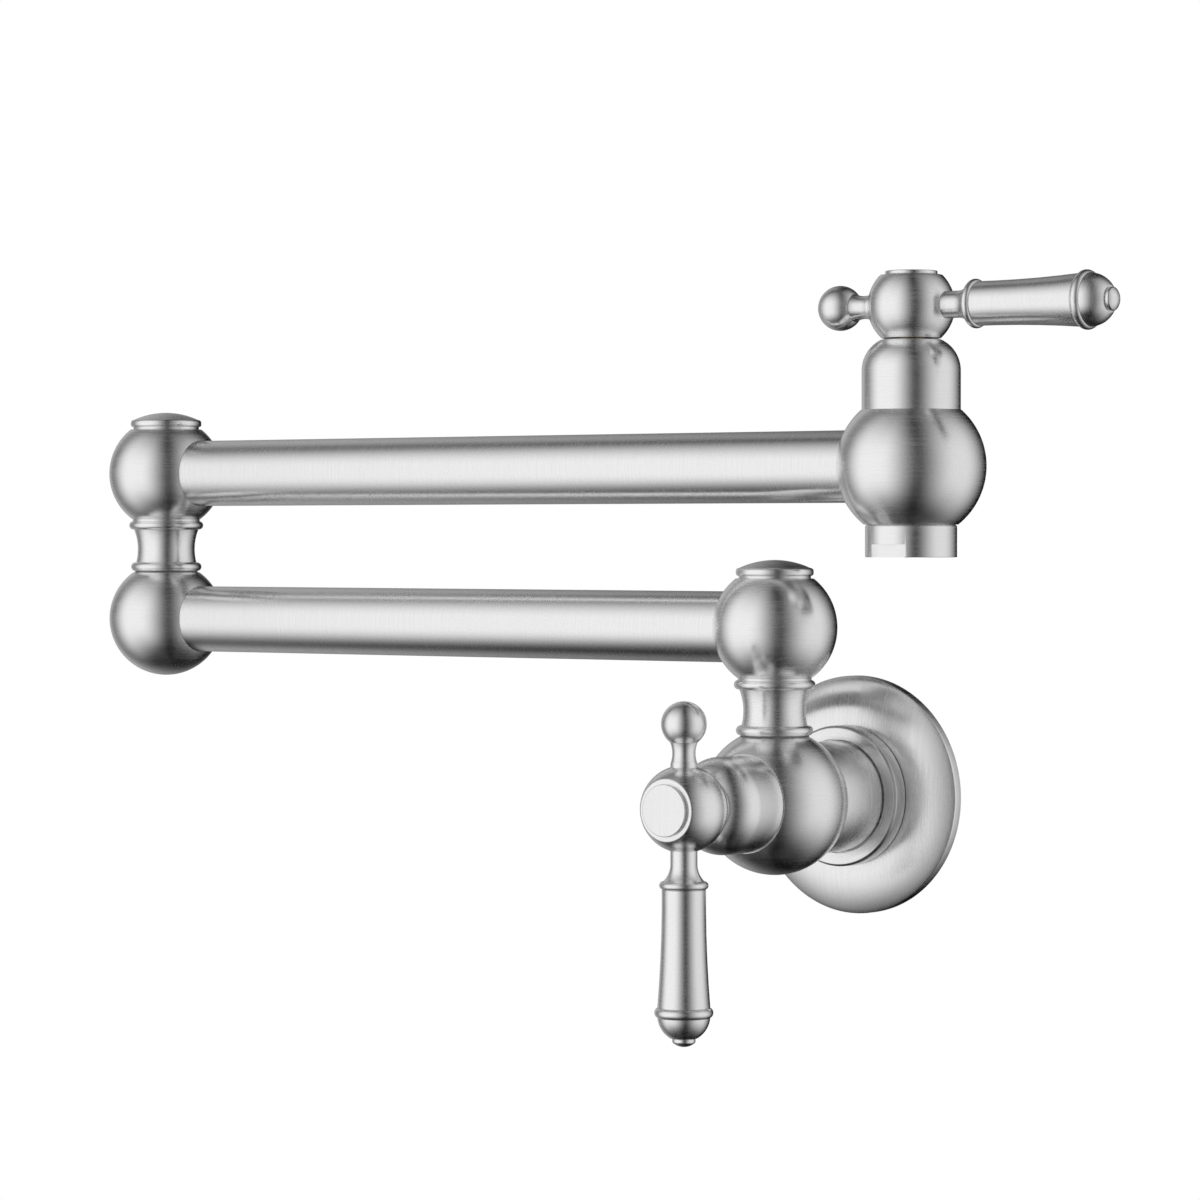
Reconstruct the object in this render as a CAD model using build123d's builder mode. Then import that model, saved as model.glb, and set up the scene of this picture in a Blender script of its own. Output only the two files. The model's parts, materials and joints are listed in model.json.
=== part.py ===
from build123d import *

import os
from math import cos, pi, sin, sqrt

# A wall mounted pot filler: a valve body on the wall carries a folding arm of two tubes,
# and a second valve body with the spout hangs at the arm's end.
# The origin is the flange's centre on the wall face. +Y runs into the wall and +Z is up.

# ---------------------------------------------------------------- layout
wall_to_post = 48.0  # wall face to the upright swivel axes
lower_arm_reach = 250.5  # wall swivel axis to elbow axis
upper_arm_reach = 300.0  # elbow axis to spout axis

# ---------------------------------------------------------------- clearances
running_fit = 0.05  # radial, between a shaft and the bore it turns in
thread_gap = 0.05  # radial, between a thread cut plain and its hole
braze_gap = 0.05  # radial, between a tube and its socket
ring_gap = 0.03  # between a sealing ring and what it seals
washer_gap = 0.3  # radial, round a washer in its chamber
seam_gap = 0.3  # between the handle's hub and the bonnet
cut_margin = 1.0  # holes are cut this far past the ball that they open
hexagon_sides = 6

# ---------------------------------------------------------------- balls and tubes
body_ball_radius = 22.6  # the wall and spout valve bodies
arm_ball_radius = 19.25  # the balls at the arms' other ends
tube_radius = 11.0
tube_wall = 1.2
tube_socket_depth = 4.8  # tube in its ball, at the socket's edge
tube_floor_wall = 0.6  # the socket stops at least this far outside the spindle's chamber
arm_waterway_radius = 7.5

# ---------------------------------------------------------------- neck under each turning arm ball
neck_length = 17.95  # from the ball to the face it turns on
neck_bore_radius = 8.0
neck_step_radius = 11.36
neck_step_length = 0.6
upper_bead_radius = 12.52
upper_bead_width = 2.8
neck_top_radius = 10.9
neck_waist_radius = 9.65
neck_bottom_radius = 10.2
lower_bead_radius = 11.9
lower_bead_width = 3.0
bead_root = 0.3  # the beads' edges stand this far out of the neck
neck_rim = 0.1  # plain rim under the lower bead

# ---------------------------------------------------------------- swivel
body_seat_radius = 10.7  # flat on the wall body that the neck turns on
elbow_seat_radius = 11.2  # the same flat on the elbow ball
thrust_washer_radius = 10.6
thrust_washer_thickness = 0.3
spindle_flange_radius = 9.0
spindle_flange_thickness = 2.0
spindle_shank_radius = 7.0
spindle_shank_length = 5.5
spindle_bore_radius = 4.5
spindle_key_flats = 9.4  # six-sided key hole at the spindle's top
spindle_key_depth = 6.0
spindle_chamfer = 0.5
outlet_port_radius = 5.5
ring_groove_depth = 1.45
ring_groove_width = 1.9
lower_ring_height = 4.6  # middle of its groove above the seat
upper_ring_height = 15.6
ledge_depth = 13.0  # from the ball's centre down to the ledge that the washer holds
ledge_width = 1.5
retaining_washer_thickness = 1.0
clip_thickness = 1.0
clip_groove_depth = 0.95
clip_width = 2.0
clip_opening = 5.0
clip_play = 0.05
spindle_tip = 1.2  # spindle above its clip

# ---------------------------------------------------------------- domed cap on each arm ball
cap_seat_radius = 12.0  # flat on the ball that the cap sits on, less on a small ball
cap_seat_lift = 0.5  # that flat is at least this far above the tube
cap_seat_rim = 0.05  # the flat shows this far round the cap
cap_rim_height = 3.25
cap_rim_round = 1.0
cap_rim_undercut = 0.85  # the rim's lower round, which stands this far over the cap's foot
cap_foot_height = 0.8
cap_foot_wall = 0.45  # the foot's wall round the seal
cap_dome_rise = 2.45
cap_crown = 2.2  # metal over the plug's hollow
cap_plug_length = 5.5
cap_plug_wall = 1.95
cap_seal_width = 1.2
cap_seal_depth = 1.15

# ---------------------------------------------------------------- wall side
neck_radius = 17.4  # straight neck of the wall body
neck_to_wall = 3.0  # the neck stops this far short of the wall
flange_radius = 37.47
flange_rim = 3.45
flange_edge_round = 0.35
flange_rise = 7.8
flange_skin = 2.0
flange_land = 4.3  # width of the ring that bears on the wall
flange_hub_wall = 3.5
flange_hub_back = 2.6  # the flange's hub stops this far short of the wall
flange_bore_gap = 0.1
gasket_width = 2.1
gasket_depth = 1.15
gasket_inset = 1.1
collar_radius = 22.06
collar_length = 5.9
collar_chamfer = 0.7
collar_foot_gap = 0.35  # shadow groove at the collar's foot, along the axis
collar_foot_depth = 0.45
collar_mouth_gap = 0.35  # the same where the neck leaves the collar, radial
collar_mouth_depth = 0.8
collar_ring_depth = 1.5
collar_ring_width = 2.0
collar_ring_back = 2.0
inlet_thread_radius = 10.478  # G 1/2
inlet_thread_free = 15.0  # past the relief, out of the body
inlet_relief_width = 2.0
inlet_relief_depth = 1.4
inlet_thread_grip = 14.8  # inside the body
inlet_bore_radius = 7.0
inlet_key_flats = 14.6
inlet_key_depth = 8.0
inlet_chamfer = 1.0
filter_thickness = 1.9
filter_inner_radius = 6.4
screen_thickness = 0.5
screen_hole = 1.5
screen_pitch = 2.6
screen_rows = 4

# ---------------------------------------------------------------- cartridge, from the valve ball's centre
seat_depth = 8.0  # valve seat below the centre
seat_port_radius = 5.6
pocket_radius = 9.8
thread_start = 5.0
cartridge_thread_radius = 10.4
bonnet_seat = 14.0  # floor of the counterbore that takes the bonnet
ball_face = 16.85  # flat on the ball round the bonnet
cage_radius = 8.8
cage_wall = 1.2
cage_lift = 1.8  # cage above the valve seat
cage_ceiling = 4.6
window_width = 9.0
window_height = 3.2
window_floor = -0.1
cartridge_flats = 21.0
cartridge_flange_height = 4.5
cartridge_neck_radius = 9.0
cartridge_top = 31.0
seal_height = 2.2
seal_inner_radius = 6.0
disc_gap = 0.1
disc_height = 2.8
disc_port_circle = 4.2
disc_port_width = 3.0
disc_port_angle = 36.0
tang_width = 3.2
tang_depth = 1.0
tang_play = 0.1
tang_radius = 6.6
stem_radius = 5.95
stem_collar_radius = 7.3
stem_collar_height = 1.0
stem_play = 0.1  # along the axis, over the stem's collar and its shoulder
stem_ring_low = 11.0
stem_ring_high = 20.0
stem_ring_depth = 1.4
stem_ring_width = 1.9
stem_waist_radius = 4.6
stem_waist_lift = 0.5  # waist starts this far above the cartridge
spline_radius = 4.0
spline_root = 0.45
spline_teeth = 20
spline_gap = 0.05
spline_entry = 0.35  # the stem's waist enters the hub this far
spline_end_gap = 0.2

# ---------------------------------------------------------------- bonnet
bonnet_radius = 14.86
bonnet_straight = 28.6  # top of its straight side
bonnet_top_radius = 8.9
bonnet_wall = 2.36
bonnet_web_lift = 2.0  # screwed web above the cartridge's hexagon
bonnet_mouth_gap = 0.8

# ---------------------------------------------------------------- handle hub
hub_distance = 48.0  # valve ball's centre to the hub's centre
hub_radius = 13.15
hub_foot = 9.75  # hub's centre to the flat that faces the bonnet
hub_face = 9.3  # hub's centre to the flat under the index cap
hub_web_foot = -1.7  # web between the spline socket and the counterbore
hub_web_top = 1.6
hub_screw_radius = 2.0
hub_screw_gap = 0.1
hub_screw_length = 10.0
hub_screw_head_radius = 3.5
hub_screw_head_height = 2.6
hub_screw_key_flats = 3.0
hub_screw_key_depth = 1.6
hub_counterbore_radius = 4.6
index_radius = 7.85
index_proud = 1.2
index_round = 0.3
index_plug_length = 4.0
index_plug_wall = 1.0

# ---------------------------------------------------------------- lever, out from the hub's centre
lever_thread_end = 6.2
lever_thread_radius = 2.5
lever_seat = 11.8  # flat in the hub that the lever and the finial seat on
lever_neck_radius = 4.04
lever_neck_end = 16.5
lever_flare_radius = 6.2
lever_flare_end = 21.6
lever_bead_radius = 7.38
lever_bead_end = 24.0
lever_rod_radius = 2.5
lever_rod_end = 66.0
grip_radius = 6.62
grip_straight_end = 30.0
grip_middle = 44.2
grip_middle_radius = 6.98
grip_end = 59.4
grip_end_radius = 7.93
end_bead_radius = 8.83
end_bead_end = 62.3
end_dome_radius = 7.95
end_dome_centre = 61.65
button_foot = 68.5
button_radius = 3.5
button_shoulder = 69.7
button_tip = 71.1
button_round = 0.4
button_screw_radius = 1.5
button_screw_end = 56.0
button_hole_end = 55.0

# ---------------------------------------------------------------- finial, out from the hub's centre
finial_flange_radius = 4.03
finial_flange_end = 13.7
finial_waist = 17.0
finial_waist_radius = 3.48
finial_ball_foot = 20.0
finial_ball_centre = 25.4
finial_ball_radius = 6.83

# ---------------------------------------------------------------- nozzle, down from the spout ball's centre
nozzle_hole_top = 11.0
nozzle_thread_top = 11.6
nozzle_thread_radius = 10.4
nozzle_seat = 17.6
nozzle_radius = 13.8
nozzle_top_chamfer = 0.5
nozzle_end = 27.4
nozzle_bore_radius = 8.4
nozzle_flats = 25.0
nozzle_flat_height = 3.9
aerator_top = 19.2
aerator_radius = 11.3
aerator_gap = 0.1
aerator_washer_thickness = 1.4
aerator_washer_inner = 8.6
aerator_recess = 1.2
aerator_wall = 1.4
aerator_face = 1.6
aerator_hole_radius = 0.85
aerator_ring_pitch = 3.7
aerator_rings = 2
aerator_ring_step = 6  # holes added by each ring

# ---------------------------------------------------------------- worked-out sizes
spindle_radius = neck_bore_radius - running_fit
chamber_radius = neck_bore_radius + ledge_width
body_seat_height = sqrt(body_ball_radius**2 - body_seat_radius**2)
elbow_seat_height = sqrt(arm_ball_radius**2 - elbow_seat_radius**2)
cap_flat_limit = sqrt(arm_ball_radius**2 - (tube_radius + cap_seat_lift) ** 2)
cap_flat_radius = min(cap_seat_radius, cap_flat_limit)
cap_radius = cap_flat_radius - cap_seat_rim
cap_seat_height = sqrt(arm_ball_radius**2 - cap_flat_radius**2)
neck_top = sqrt(arm_ball_radius**2 - neck_step_radius**2)  # ball's centre down to its neck
neck_reach = neck_top + neck_length  # ball's centre down to the face it turns on
lower_arm_height = body_seat_height + neck_reach
upper_arm_height = lower_arm_height + elbow_seat_height + neck_reach
stem_bore_radius = stem_radius + running_fit
bonnet_top = hub_distance - hub_foot - seam_gap
spline_start = hub_distance - hub_foot + spline_entry

# ---------------------------------------------------------------- places
# Each ball has a plane at its centre, with z along the ball's own axis.
# On a valve body x points along the lever, and on an arm ball it points along the tube.
spout_offset = upper_arm_reach - lower_arm_reach
wall = Plane(origin=(0, 0, 0), x_dir=(1, 0, 0), z_dir=(0, -1, 0))
wall_valve = Plane(origin=(0, -wall_to_post, 0), x_dir=(0, 0, -1), z_dir=(0, -1, 0))
wall_post = Plane(origin=(0, -wall_to_post, 0), x_dir=(1, 0, 0))
lower_hub = Plane(origin=(0, -wall_to_post, lower_arm_height), x_dir=(-1, 0, 0))
elbow_post = Plane(origin=(-lower_arm_reach, -wall_to_post, lower_arm_height), x_dir=(1, 0, 0))
upper_hub = Plane(origin=(-lower_arm_reach, -wall_to_post, upper_arm_height), x_dir=(1, 0, 0))
spout_valve = Plane(origin=(spout_offset, -wall_to_post, upper_arm_height), x_dir=(1, 0, 0))
spout_outlet = Plane(origin=spout_valve.origin, x_dir=(1, 0, 0), z_dir=(0, 0, -1))

os.makedirs("parts", exist_ok=True)


def profile_plane(seat):
    """The plane of a turned outline: x is the radius and y the height along the seat's axis."""
    return Plane(origin=seat.origin, x_dir=seat.x_dir, z_dir=-seat.y_dir)


def turning_axis(seat):
    return Axis(seat.origin, seat.z_dir)


def side_plane(seat, direction=1):
    """The plane at the seat's centre whose z runs out along the seat's x, or against it."""
    return Plane(origin=seat.origin, x_dir=seat.z_dir, z_dir=seat.x_dir * direction)


def ball_section(ball_radius, height):
    """A ball's radius at a height from its centre."""
    return sqrt(ball_radius**2 - height**2)


def turn(seat, *corners, mode=Mode.ADD):
    """Turn a straight-sided outline of (radius, height) corners about the seat's axis."""
    with BuildSketch(profile_plane(seat)) as outline:
        with BuildLine():
            Polyline(*corners, close=True)
        make_face()
    revolve(outline.sketch, axis=turning_axis(seat), mode=mode)


def ring(seat, inner, outer, low, high, mode=Mode.ADD):
    """Add a flat ring on the seat's axis between two heights, or cut it as a groove."""
    with BuildSketch(seat.offset(low)) as face:
        Circle(outer)
        Circle(inner, mode=Mode.SUBTRACT)
    extrude(face.sketch, amount=high - low, mode=mode)


def bore(seat, radius, low, high):
    """Cut a round hole on the seat's axis between two heights."""
    with BuildSketch(seat.offset(low)) as mouth:
        Circle(radius)
    extrude(mouth.sketch, amount=high - low, mode=Mode.SUBTRACT)


def round_edges(piece):
    """A turned piece's full circles, without the seams of its curved faces."""
    return piece.edges().filter_by(GeomType.CIRCLE).filter_by(lambda edge: edge.is_closed)


def end_edge(piece, seat, end):
    """The largest full circle at a turned piece's low end (0) or high end (-1)."""
    return round_edges(piece).group_by(turning_axis(seat))[end].sort_by(SortBy.RADIUS)[-1]


def save(piece, name):
    piece.part.label = name
    export_step(piece.part, f"parts/{name}.step")


# ---------------------------------------------------------------- wall flange, gasket and collar
gasket_outer = flange_radius - gasket_inset
gasket_inner = gasket_outer - gasket_width
flange_bore = neck_radius + flange_bore_gap
flange_hub = flange_bore + flange_hub_wall
recess_radius = flange_radius - flange_land
recess_rim = flange_rim - flange_skin / 2
collar_face = flange_rise + collar_length
collar_ring_foot = flange_rise + collar_ring_back
collar_ring_top = collar_ring_foot + collar_ring_width

with BuildPart() as wall_flange:
    with BuildSketch(profile_plane(wall)):
        with BuildLine():
            face = Line((flange_bore, flange_rise), (collar_radius, flange_rise))
            dome = TangentArc(face @ 1, (flange_radius, flange_rim), tangent=(1, 0))
            Polyline(dome @ 1, (flange_radius, 0), (recess_radius, 0), (recess_radius, recess_rim))
            skin = TangentArc(
                (flange_hub, flange_rise - flange_skin), (recess_radius, recess_rim), tangent=(1, 0)
            )
            Polyline(skin @ 0, (flange_hub, flange_hub_back), (flange_bore, flange_hub_back), face @ 0)
        make_face()
    revolve(axis=turning_axis(wall))
    rim_circles = round_edges(wall_flange).group_by(SortBy.RADIUS)[-1]
    fillet(rim_circles.sort_by(turning_axis(wall))[-1], flange_edge_round)
    ring(wall, gasket_inner, gasket_outer, 0, gasket_depth, mode=Mode.SUBTRACT)
save(wall_flange, "wall_flange")

with BuildPart() as wall_gasket:
    ring(wall, gasket_inner + ring_gap, gasket_outer - ring_gap, 0, gasket_depth)
save(wall_gasket, "wall_gasket")

with BuildPart() as flange_collar:
    ring(wall, neck_radius + running_fit, collar_radius, flange_rise, collar_face)
    chamfer(end_edge(flange_collar, wall, -1), collar_chamfer)
    groove_radius = neck_radius + collar_ring_depth
    ring(wall, neck_radius, groove_radius, collar_ring_foot, collar_ring_top, mode=Mode.SUBTRACT)
    shadow_floor = collar_radius - collar_foot_depth
    shadow_top = flange_rise + collar_foot_gap
    ring(wall, shadow_floor, collar_radius + cut_margin, flange_rise, shadow_top, mode=Mode.SUBTRACT)
    mouth_radius = neck_radius + collar_mouth_gap
    mouth_floor = collar_face - collar_mouth_depth
    ring(wall, neck_radius, mouth_radius, mouth_floor, collar_face, mode=Mode.SUBTRACT)
save(flange_collar, "flange_collar")

with BuildPart() as collar_ring:
    with Locations(wall.offset(collar_ring_foot + collar_ring_width / 2)):
        Torus(neck_radius + collar_ring_depth / 2, collar_ring_depth / 2 - ring_gap)
save(collar_ring, "collar_ring")


# ---------------------------------------------------------------- bores that several bodies share
def bore_spindle_seat(post, seat_height, ball_radius):
    """Flatten a ball's top where the neck turns, and bore it for the spindle and the water."""
    shank_top = seat_height - spindle_flange_thickness
    shank_end = shank_top - spindle_shank_length
    seat_radius = ball_section(ball_radius, seat_height) + bead_root
    bore(post, seat_radius, seat_height, ball_radius + cut_margin)
    bore(post, spindle_flange_radius + thread_gap, shank_top, seat_height)
    bore(post, spindle_shank_radius + thread_gap, shank_end, shank_top)
    bore(post, outlet_port_radius, 0, shank_end)


def tube_floor(ball_radius):
    """From a ball's centre to the floor of its tube socket, clear of the spindle's chamber."""
    full_depth_floor = ball_section(ball_radius, tube_radius) - tube_socket_depth
    return max(full_depth_floor, chamber_radius + tube_floor_wall)


def bore_tube_socket(side, ball_radius, waterway_start=0):
    """Bore a ball for its tube, and for the water from the ball's middle to the tube."""
    bore(side, arm_waterway_radius, waterway_start, tube_floor(ball_radius))
    bore(side, tube_radius + braze_gap, tube_floor(ball_radius), ball_radius + cut_margin)


def bore_cartridge_pocket(seat):
    """Bore a valve body from its front for the cartridge and the bonnet's foot."""
    thread_hole = cartridge_thread_radius + thread_gap
    counterbore = bonnet_radius + thread_gap
    turn(
        seat,
        (0, -seat_depth),
        (pocket_radius, -seat_depth),
        (pocket_radius, thread_start),
        (thread_hole, thread_start),
        (thread_hole, bonnet_seat),
        (counterbore, bonnet_seat),
        (counterbore, body_ball_radius),
        (0, body_ball_radius),
        mode=Mode.SUBTRACT,
    )


# ---------------------------------------------------------------- wall body and inlet
neck_back = neck_to_wall - wall_to_post
inlet_floor = neck_back + inlet_thread_grip + filter_thickness
inlet_back = wall.offset(neck_to_wall)
inlet_end = -inlet_relief_width - inlet_thread_free

with BuildPart() as wall_body:
    with BuildSketch(profile_plane(wall_valve)):
        with BuildLine():
            neck_side = Line(
                (neck_radius, neck_back), (neck_radius, -ball_section(body_ball_radius, neck_radius))
            )
            ball = ThreePointArc(
                neck_side @ 1,
                (body_ball_radius, 0),
                (ball_section(body_ball_radius, ball_face), ball_face),
            )
            Polyline(ball @ 1, (0, ball_face), (0, neck_back), neck_side @ 0)
        make_face()
    revolve(axis=turning_axis(wall_valve))
    bore_cartridge_pocket(wall_valve)
    bore_spindle_seat(wall_post, body_seat_height, body_ball_radius)
    bore(wall_valve, inlet_thread_radius + thread_gap, neck_back, inlet_floor)
    bore(wall_valve, seat_port_radius, inlet_floor, -seat_depth)
save(wall_body, "wall_body")

with BuildPart() as inlet_nipple:
    ring(inlet_back, inlet_bore_radius, inlet_thread_radius, inlet_end, inlet_thread_grip)
    for end in (0, -1):
        chamfer(end_edge(inlet_nipple, inlet_back, end), inlet_chamfer)
    relief_radius = inlet_thread_radius - inlet_relief_depth
    ring(
        inlet_back,
        relief_radius,
        inlet_thread_radius + inlet_relief_depth,
        -inlet_relief_width,
        0,
        mode=Mode.SUBTRACT,
    )
    with BuildSketch(inlet_back.offset(inlet_end)):
        RegularPolygon(inlet_key_flats / 2, hexagon_sides, major_radius=False)
    extrude(amount=inlet_key_depth, mode=Mode.SUBTRACT)
save(inlet_nipple, "inlet_nipple")

with BuildPart() as inlet_filter:
    filter_seat = inlet_back.offset(inlet_thread_grip)
    ring(filter_seat, filter_inner_radius, inlet_thread_radius - washer_gap, 0, filter_thickness)
    with BuildSketch(filter_seat.offset(filter_thickness / 2)):
        Circle(filter_inner_radius + screen_thickness)
        with GridLocations(screen_pitch, screen_pitch, screen_rows, screen_rows):
            Rectangle(screen_hole, screen_hole, mode=Mode.SUBTRACT)
    extrude(amount=screen_thickness)
save(inlet_filter, "inlet_filter")


# ---------------------------------------------------------------- arm balls and swivels
def build_arm_hub(hub, name):
    """An arm ball and its neck, bored for the spindle from below and for the cap from above."""
    foot = thrust_washer_thickness - neck_reach
    lower_bead_foot = foot + neck_rim
    waist_foot = lower_bead_foot + lower_bead_width
    step_foot = -neck_top - neck_step_length
    waist_top = step_foot - upper_bead_width
    with BuildPart() as arm_hub:
        with BuildSketch(profile_plane(hub)):
            with BuildLine():
                lower_bead = ThreePointArc(
                    (neck_bottom_radius + bead_root, lower_bead_foot),
                    (lower_bead_radius, lower_bead_foot + lower_bead_width / 2),
                    (neck_bottom_radius + bead_root, waist_foot),
                )
                waist = ThreePointArc(
                    (neck_bottom_radius, waist_foot),
                    (neck_waist_radius, (waist_foot + waist_top) / 2),
                    (neck_top_radius, waist_top),
                )
                upper_bead = ThreePointArc(
                    (neck_top_radius + bead_root, waist_top),
                    (upper_bead_radius, step_foot - upper_bead_width / 2),
                    (neck_step_radius, step_foot),
                )
                Line(lower_bead @ 1, waist @ 0)
                Line(waist @ 1, upper_bead @ 0)
                step = Line(upper_bead @ 1, (neck_step_radius, -neck_top))
                ball = ThreePointArc(
                    step @ 1, (arm_ball_radius, 0), (cap_flat_radius, cap_seat_height)
                )
                Polyline(
                    ball @ 1,
                    (chamber_radius, cap_seat_height),
                    (chamber_radius, -ledge_depth),
                    (neck_bore_radius, -ledge_depth),
                    (neck_bore_radius, foot),
                    (neck_bottom_radius + bead_root, foot),
                    lower_bead @ 0,
                )
            make_face()
        revolve(axis=turning_axis(hub))
        bore_tube_socket(side_plane(hub), arm_ball_radius)
    save(arm_hub, name)


def build_spindle(foot, place):
    """The hollow spindle that holds an arm ball down, with its sealing rings."""
    washer_top = neck_reach - ledge_depth + retaining_washer_thickness
    clip_foot = washer_top + clip_play
    tip = clip_foot + clip_thickness + spindle_tip
    shank_end = -spindle_flange_thickness - spindle_shank_length
    ring_floor = spindle_radius - ring_groove_depth
    clip_floor = spindle_radius - clip_groove_depth

    with BuildPart() as spindle:
        turn(
            foot,
            (spindle_bore_radius, shank_end),
            (spindle_shank_radius, shank_end),
            (spindle_shank_radius, -spindle_flange_thickness),
            (spindle_flange_radius, -spindle_flange_thickness),
            (spindle_flange_radius, 0),
            (spindle_radius, 0),
            (spindle_radius, tip - spindle_chamfer),
            (spindle_radius - spindle_chamfer, tip),
            (spindle_bore_radius, tip),
        )
        for middle in (lower_ring_height, upper_ring_height):
            low = middle - ring_groove_width / 2
            high = middle + ring_groove_width / 2
            ring(foot, ring_floor, neck_bore_radius, low, high, mode=Mode.SUBTRACT)
        low = clip_foot - clip_play / 2
        high = clip_foot + clip_thickness + clip_play / 2
        ring(foot, clip_floor, neck_bore_radius, low, high, mode=Mode.SUBTRACT)
        with BuildSketch(foot.offset(tip - spindle_key_depth)):
            RegularPolygon(spindle_key_flats / 2, hexagon_sides, major_radius=False)
        extrude(amount=spindle_key_depth, mode=Mode.SUBTRACT)
    save(spindle, f"{place}_spindle")

    with BuildPart() as spindle_rings:
        with Locations(foot.offset(lower_ring_height), foot.offset(upper_ring_height)):
            Torus(
                (neck_bore_radius + ring_floor) / 2,
                (neck_bore_radius - ring_floor) / 2 - ring_gap,
            )
    save(spindle_rings, f"{place}_spindle_rings")

    with BuildPart() as thrust_washer:
        ring(foot, neck_bore_radius, thrust_washer_radius, 0, thrust_washer_thickness)
    save(thrust_washer, f"{place}_thrust_washer")

    with BuildPart() as retaining_washer:
        inner = spindle_radius + running_fit
        outer = chamber_radius - washer_gap
        ring(foot, inner, outer, neck_reach - ledge_depth, washer_top)
    save(retaining_washer, f"{place}_retaining_washer")

    with BuildPart() as retaining_clip:
        inner = clip_floor + running_fit
        with BuildSketch(foot.offset(clip_foot)):
            Circle(inner + clip_width)
            Circle(inner, mode=Mode.SUBTRACT)
            with Locations((inner, 0)):
                Rectangle(inner, clip_opening, mode=Mode.SUBTRACT)
        extrude(amount=clip_thickness)
    save(retaining_clip, f"{place}_retaining_clip")


def build_swivel_cap(hub, place):
    """The domed cap screwed into an arm ball's top, with its sealing ring."""
    plug_radius = chamber_radius - thread_gap
    plug_bore = plug_radius - cap_plug_wall
    plug_end = cap_seat_height - cap_plug_length
    foot_radius = cap_radius - cap_rim_undercut
    foot_top = cap_seat_height + cap_foot_height
    seal_radius = min(plug_radius + cap_seal_width, foot_radius - cap_foot_wall)
    seal_ring_radius = (seal_radius - plug_radius + cap_seal_depth - cap_seal_width) / 2 - ring_gap
    seal_top = cap_seat_height + cap_seal_depth
    rim_top = cap_seat_height + cap_rim_height
    dome_top = rim_top + cap_dome_rise
    hollow_top = dome_top - cap_crown

    with BuildPart() as swivel_cap:
        with BuildSketch(profile_plane(hub)):
            with BuildLine():
                dome = TangentArc((0, dome_top), (cap_radius - cap_rim_round, rim_top), tangent=(1, 0))
                rim = Line((cap_radius, foot_top + cap_rim_undercut), (cap_radius, rim_top - cap_rim_round))
                TangentArc(rim @ 1, dome @ 1, tangent=(0, 1))
                foot = Polyline(
                    (seal_radius, cap_seat_height), (foot_radius, cap_seat_height), (foot_radius, foot_top)
                )
                TangentArc(foot @ 1, rim @ 0, tangent=(1, 0))
                Polyline(
                    dome @ 0,
                    (0, hollow_top),
                    (plug_bore, hollow_top - cap_dome_rise / 2),
                    (plug_bore, plug_end),
                    (plug_radius, plug_end),
                    (plug_radius, seal_top),
                    (seal_radius, seal_top),
                    foot @ 0,
                )
            make_face()
        revolve(axis=turning_axis(hub))
    save(swivel_cap, f"{place}_swivel_cap")

    with BuildPart() as cap_seal:
        with Locations(hub.offset(cap_seat_height + cap_seal_depth / 2)):
            Torus((plug_radius + seal_radius) / 2, seal_ring_radius)
    save(cap_seal, f"{place}_cap_seal")


build_arm_hub(lower_hub, "lower_arm_hub")
build_arm_hub(upper_hub, "upper_arm_hub")
build_spindle(lower_hub.offset(-neck_reach), "wall")
build_spindle(upper_hub.offset(-neck_reach), "elbow")
build_swivel_cap(lower_hub, "wall")
build_swivel_cap(upper_hub, "elbow")

# ---------------------------------------------------------------- elbow ball, spout body and tubes
with BuildPart() as elbow_body:
    with Locations(elbow_post):
        Sphere(arm_ball_radius)
    bore_spindle_seat(elbow_post, elbow_seat_height, arm_ball_radius)
    bore_tube_socket(side_plane(elbow_post), arm_ball_radius, -outlet_port_radius)
save(elbow_body, "elbow_body")

with BuildPart() as spout_body:
    with BuildSketch(profile_plane(spout_valve)):
        with BuildLine():
            ball = ThreePointArc(
                (ball_section(body_ball_radius, nozzle_seat), -nozzle_seat),
                (body_ball_radius, 0),
                (ball_section(body_ball_radius, ball_face), ball_face),
            )
            Polyline(ball @ 1, (0, ball_face), (0, -nozzle_seat), ball @ 0)
        make_face()
    revolve(axis=turning_axis(spout_valve))
    bore_cartridge_pocket(spout_valve)
    bore_tube_socket(side_plane(spout_valve, -1), body_ball_radius)
    bore(spout_outlet, nozzle_thread_radius + thread_gap, nozzle_hole_top, nozzle_seat)
    bore(spout_outlet, seat_port_radius, seat_depth, nozzle_hole_top)
save(spout_body, "spout_body")


def build_tube(start, start_ball, end_ball, reach, name):
    """An arm tube, from the socket floor of the ball at its start to the one at its end."""
    with BuildPart() as arm_tube:
        bore_radius = tube_radius - tube_wall
        ring(start, bore_radius, tube_radius, tube_floor(start_ball), reach - tube_floor(end_ball))
    save(arm_tube, name)


build_tube(side_plane(lower_hub), arm_ball_radius, arm_ball_radius, lower_arm_reach, "lower_arm_tube")
build_tube(side_plane(upper_hub), arm_ball_radius, body_ball_radius, upper_arm_reach, "upper_arm_tube")

# ---------------------------------------------------------------- valve cartridge and bonnet
disc_port = CenterArc((0, 0), disc_port_circle, -disc_port_angle / 2, disc_port_angle)


def spline_corners(tip_radius):
    """The corners of a stem's spline, which its socket repeats a little larger."""
    corners = []
    for corner in range(2 * spline_teeth):
        angle = pi * corner / spline_teeth
        radius = tip_radius - spline_root * (corner % 2)
        corners.append((radius * cos(angle), radius * sin(angle)))
    return corners


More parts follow.
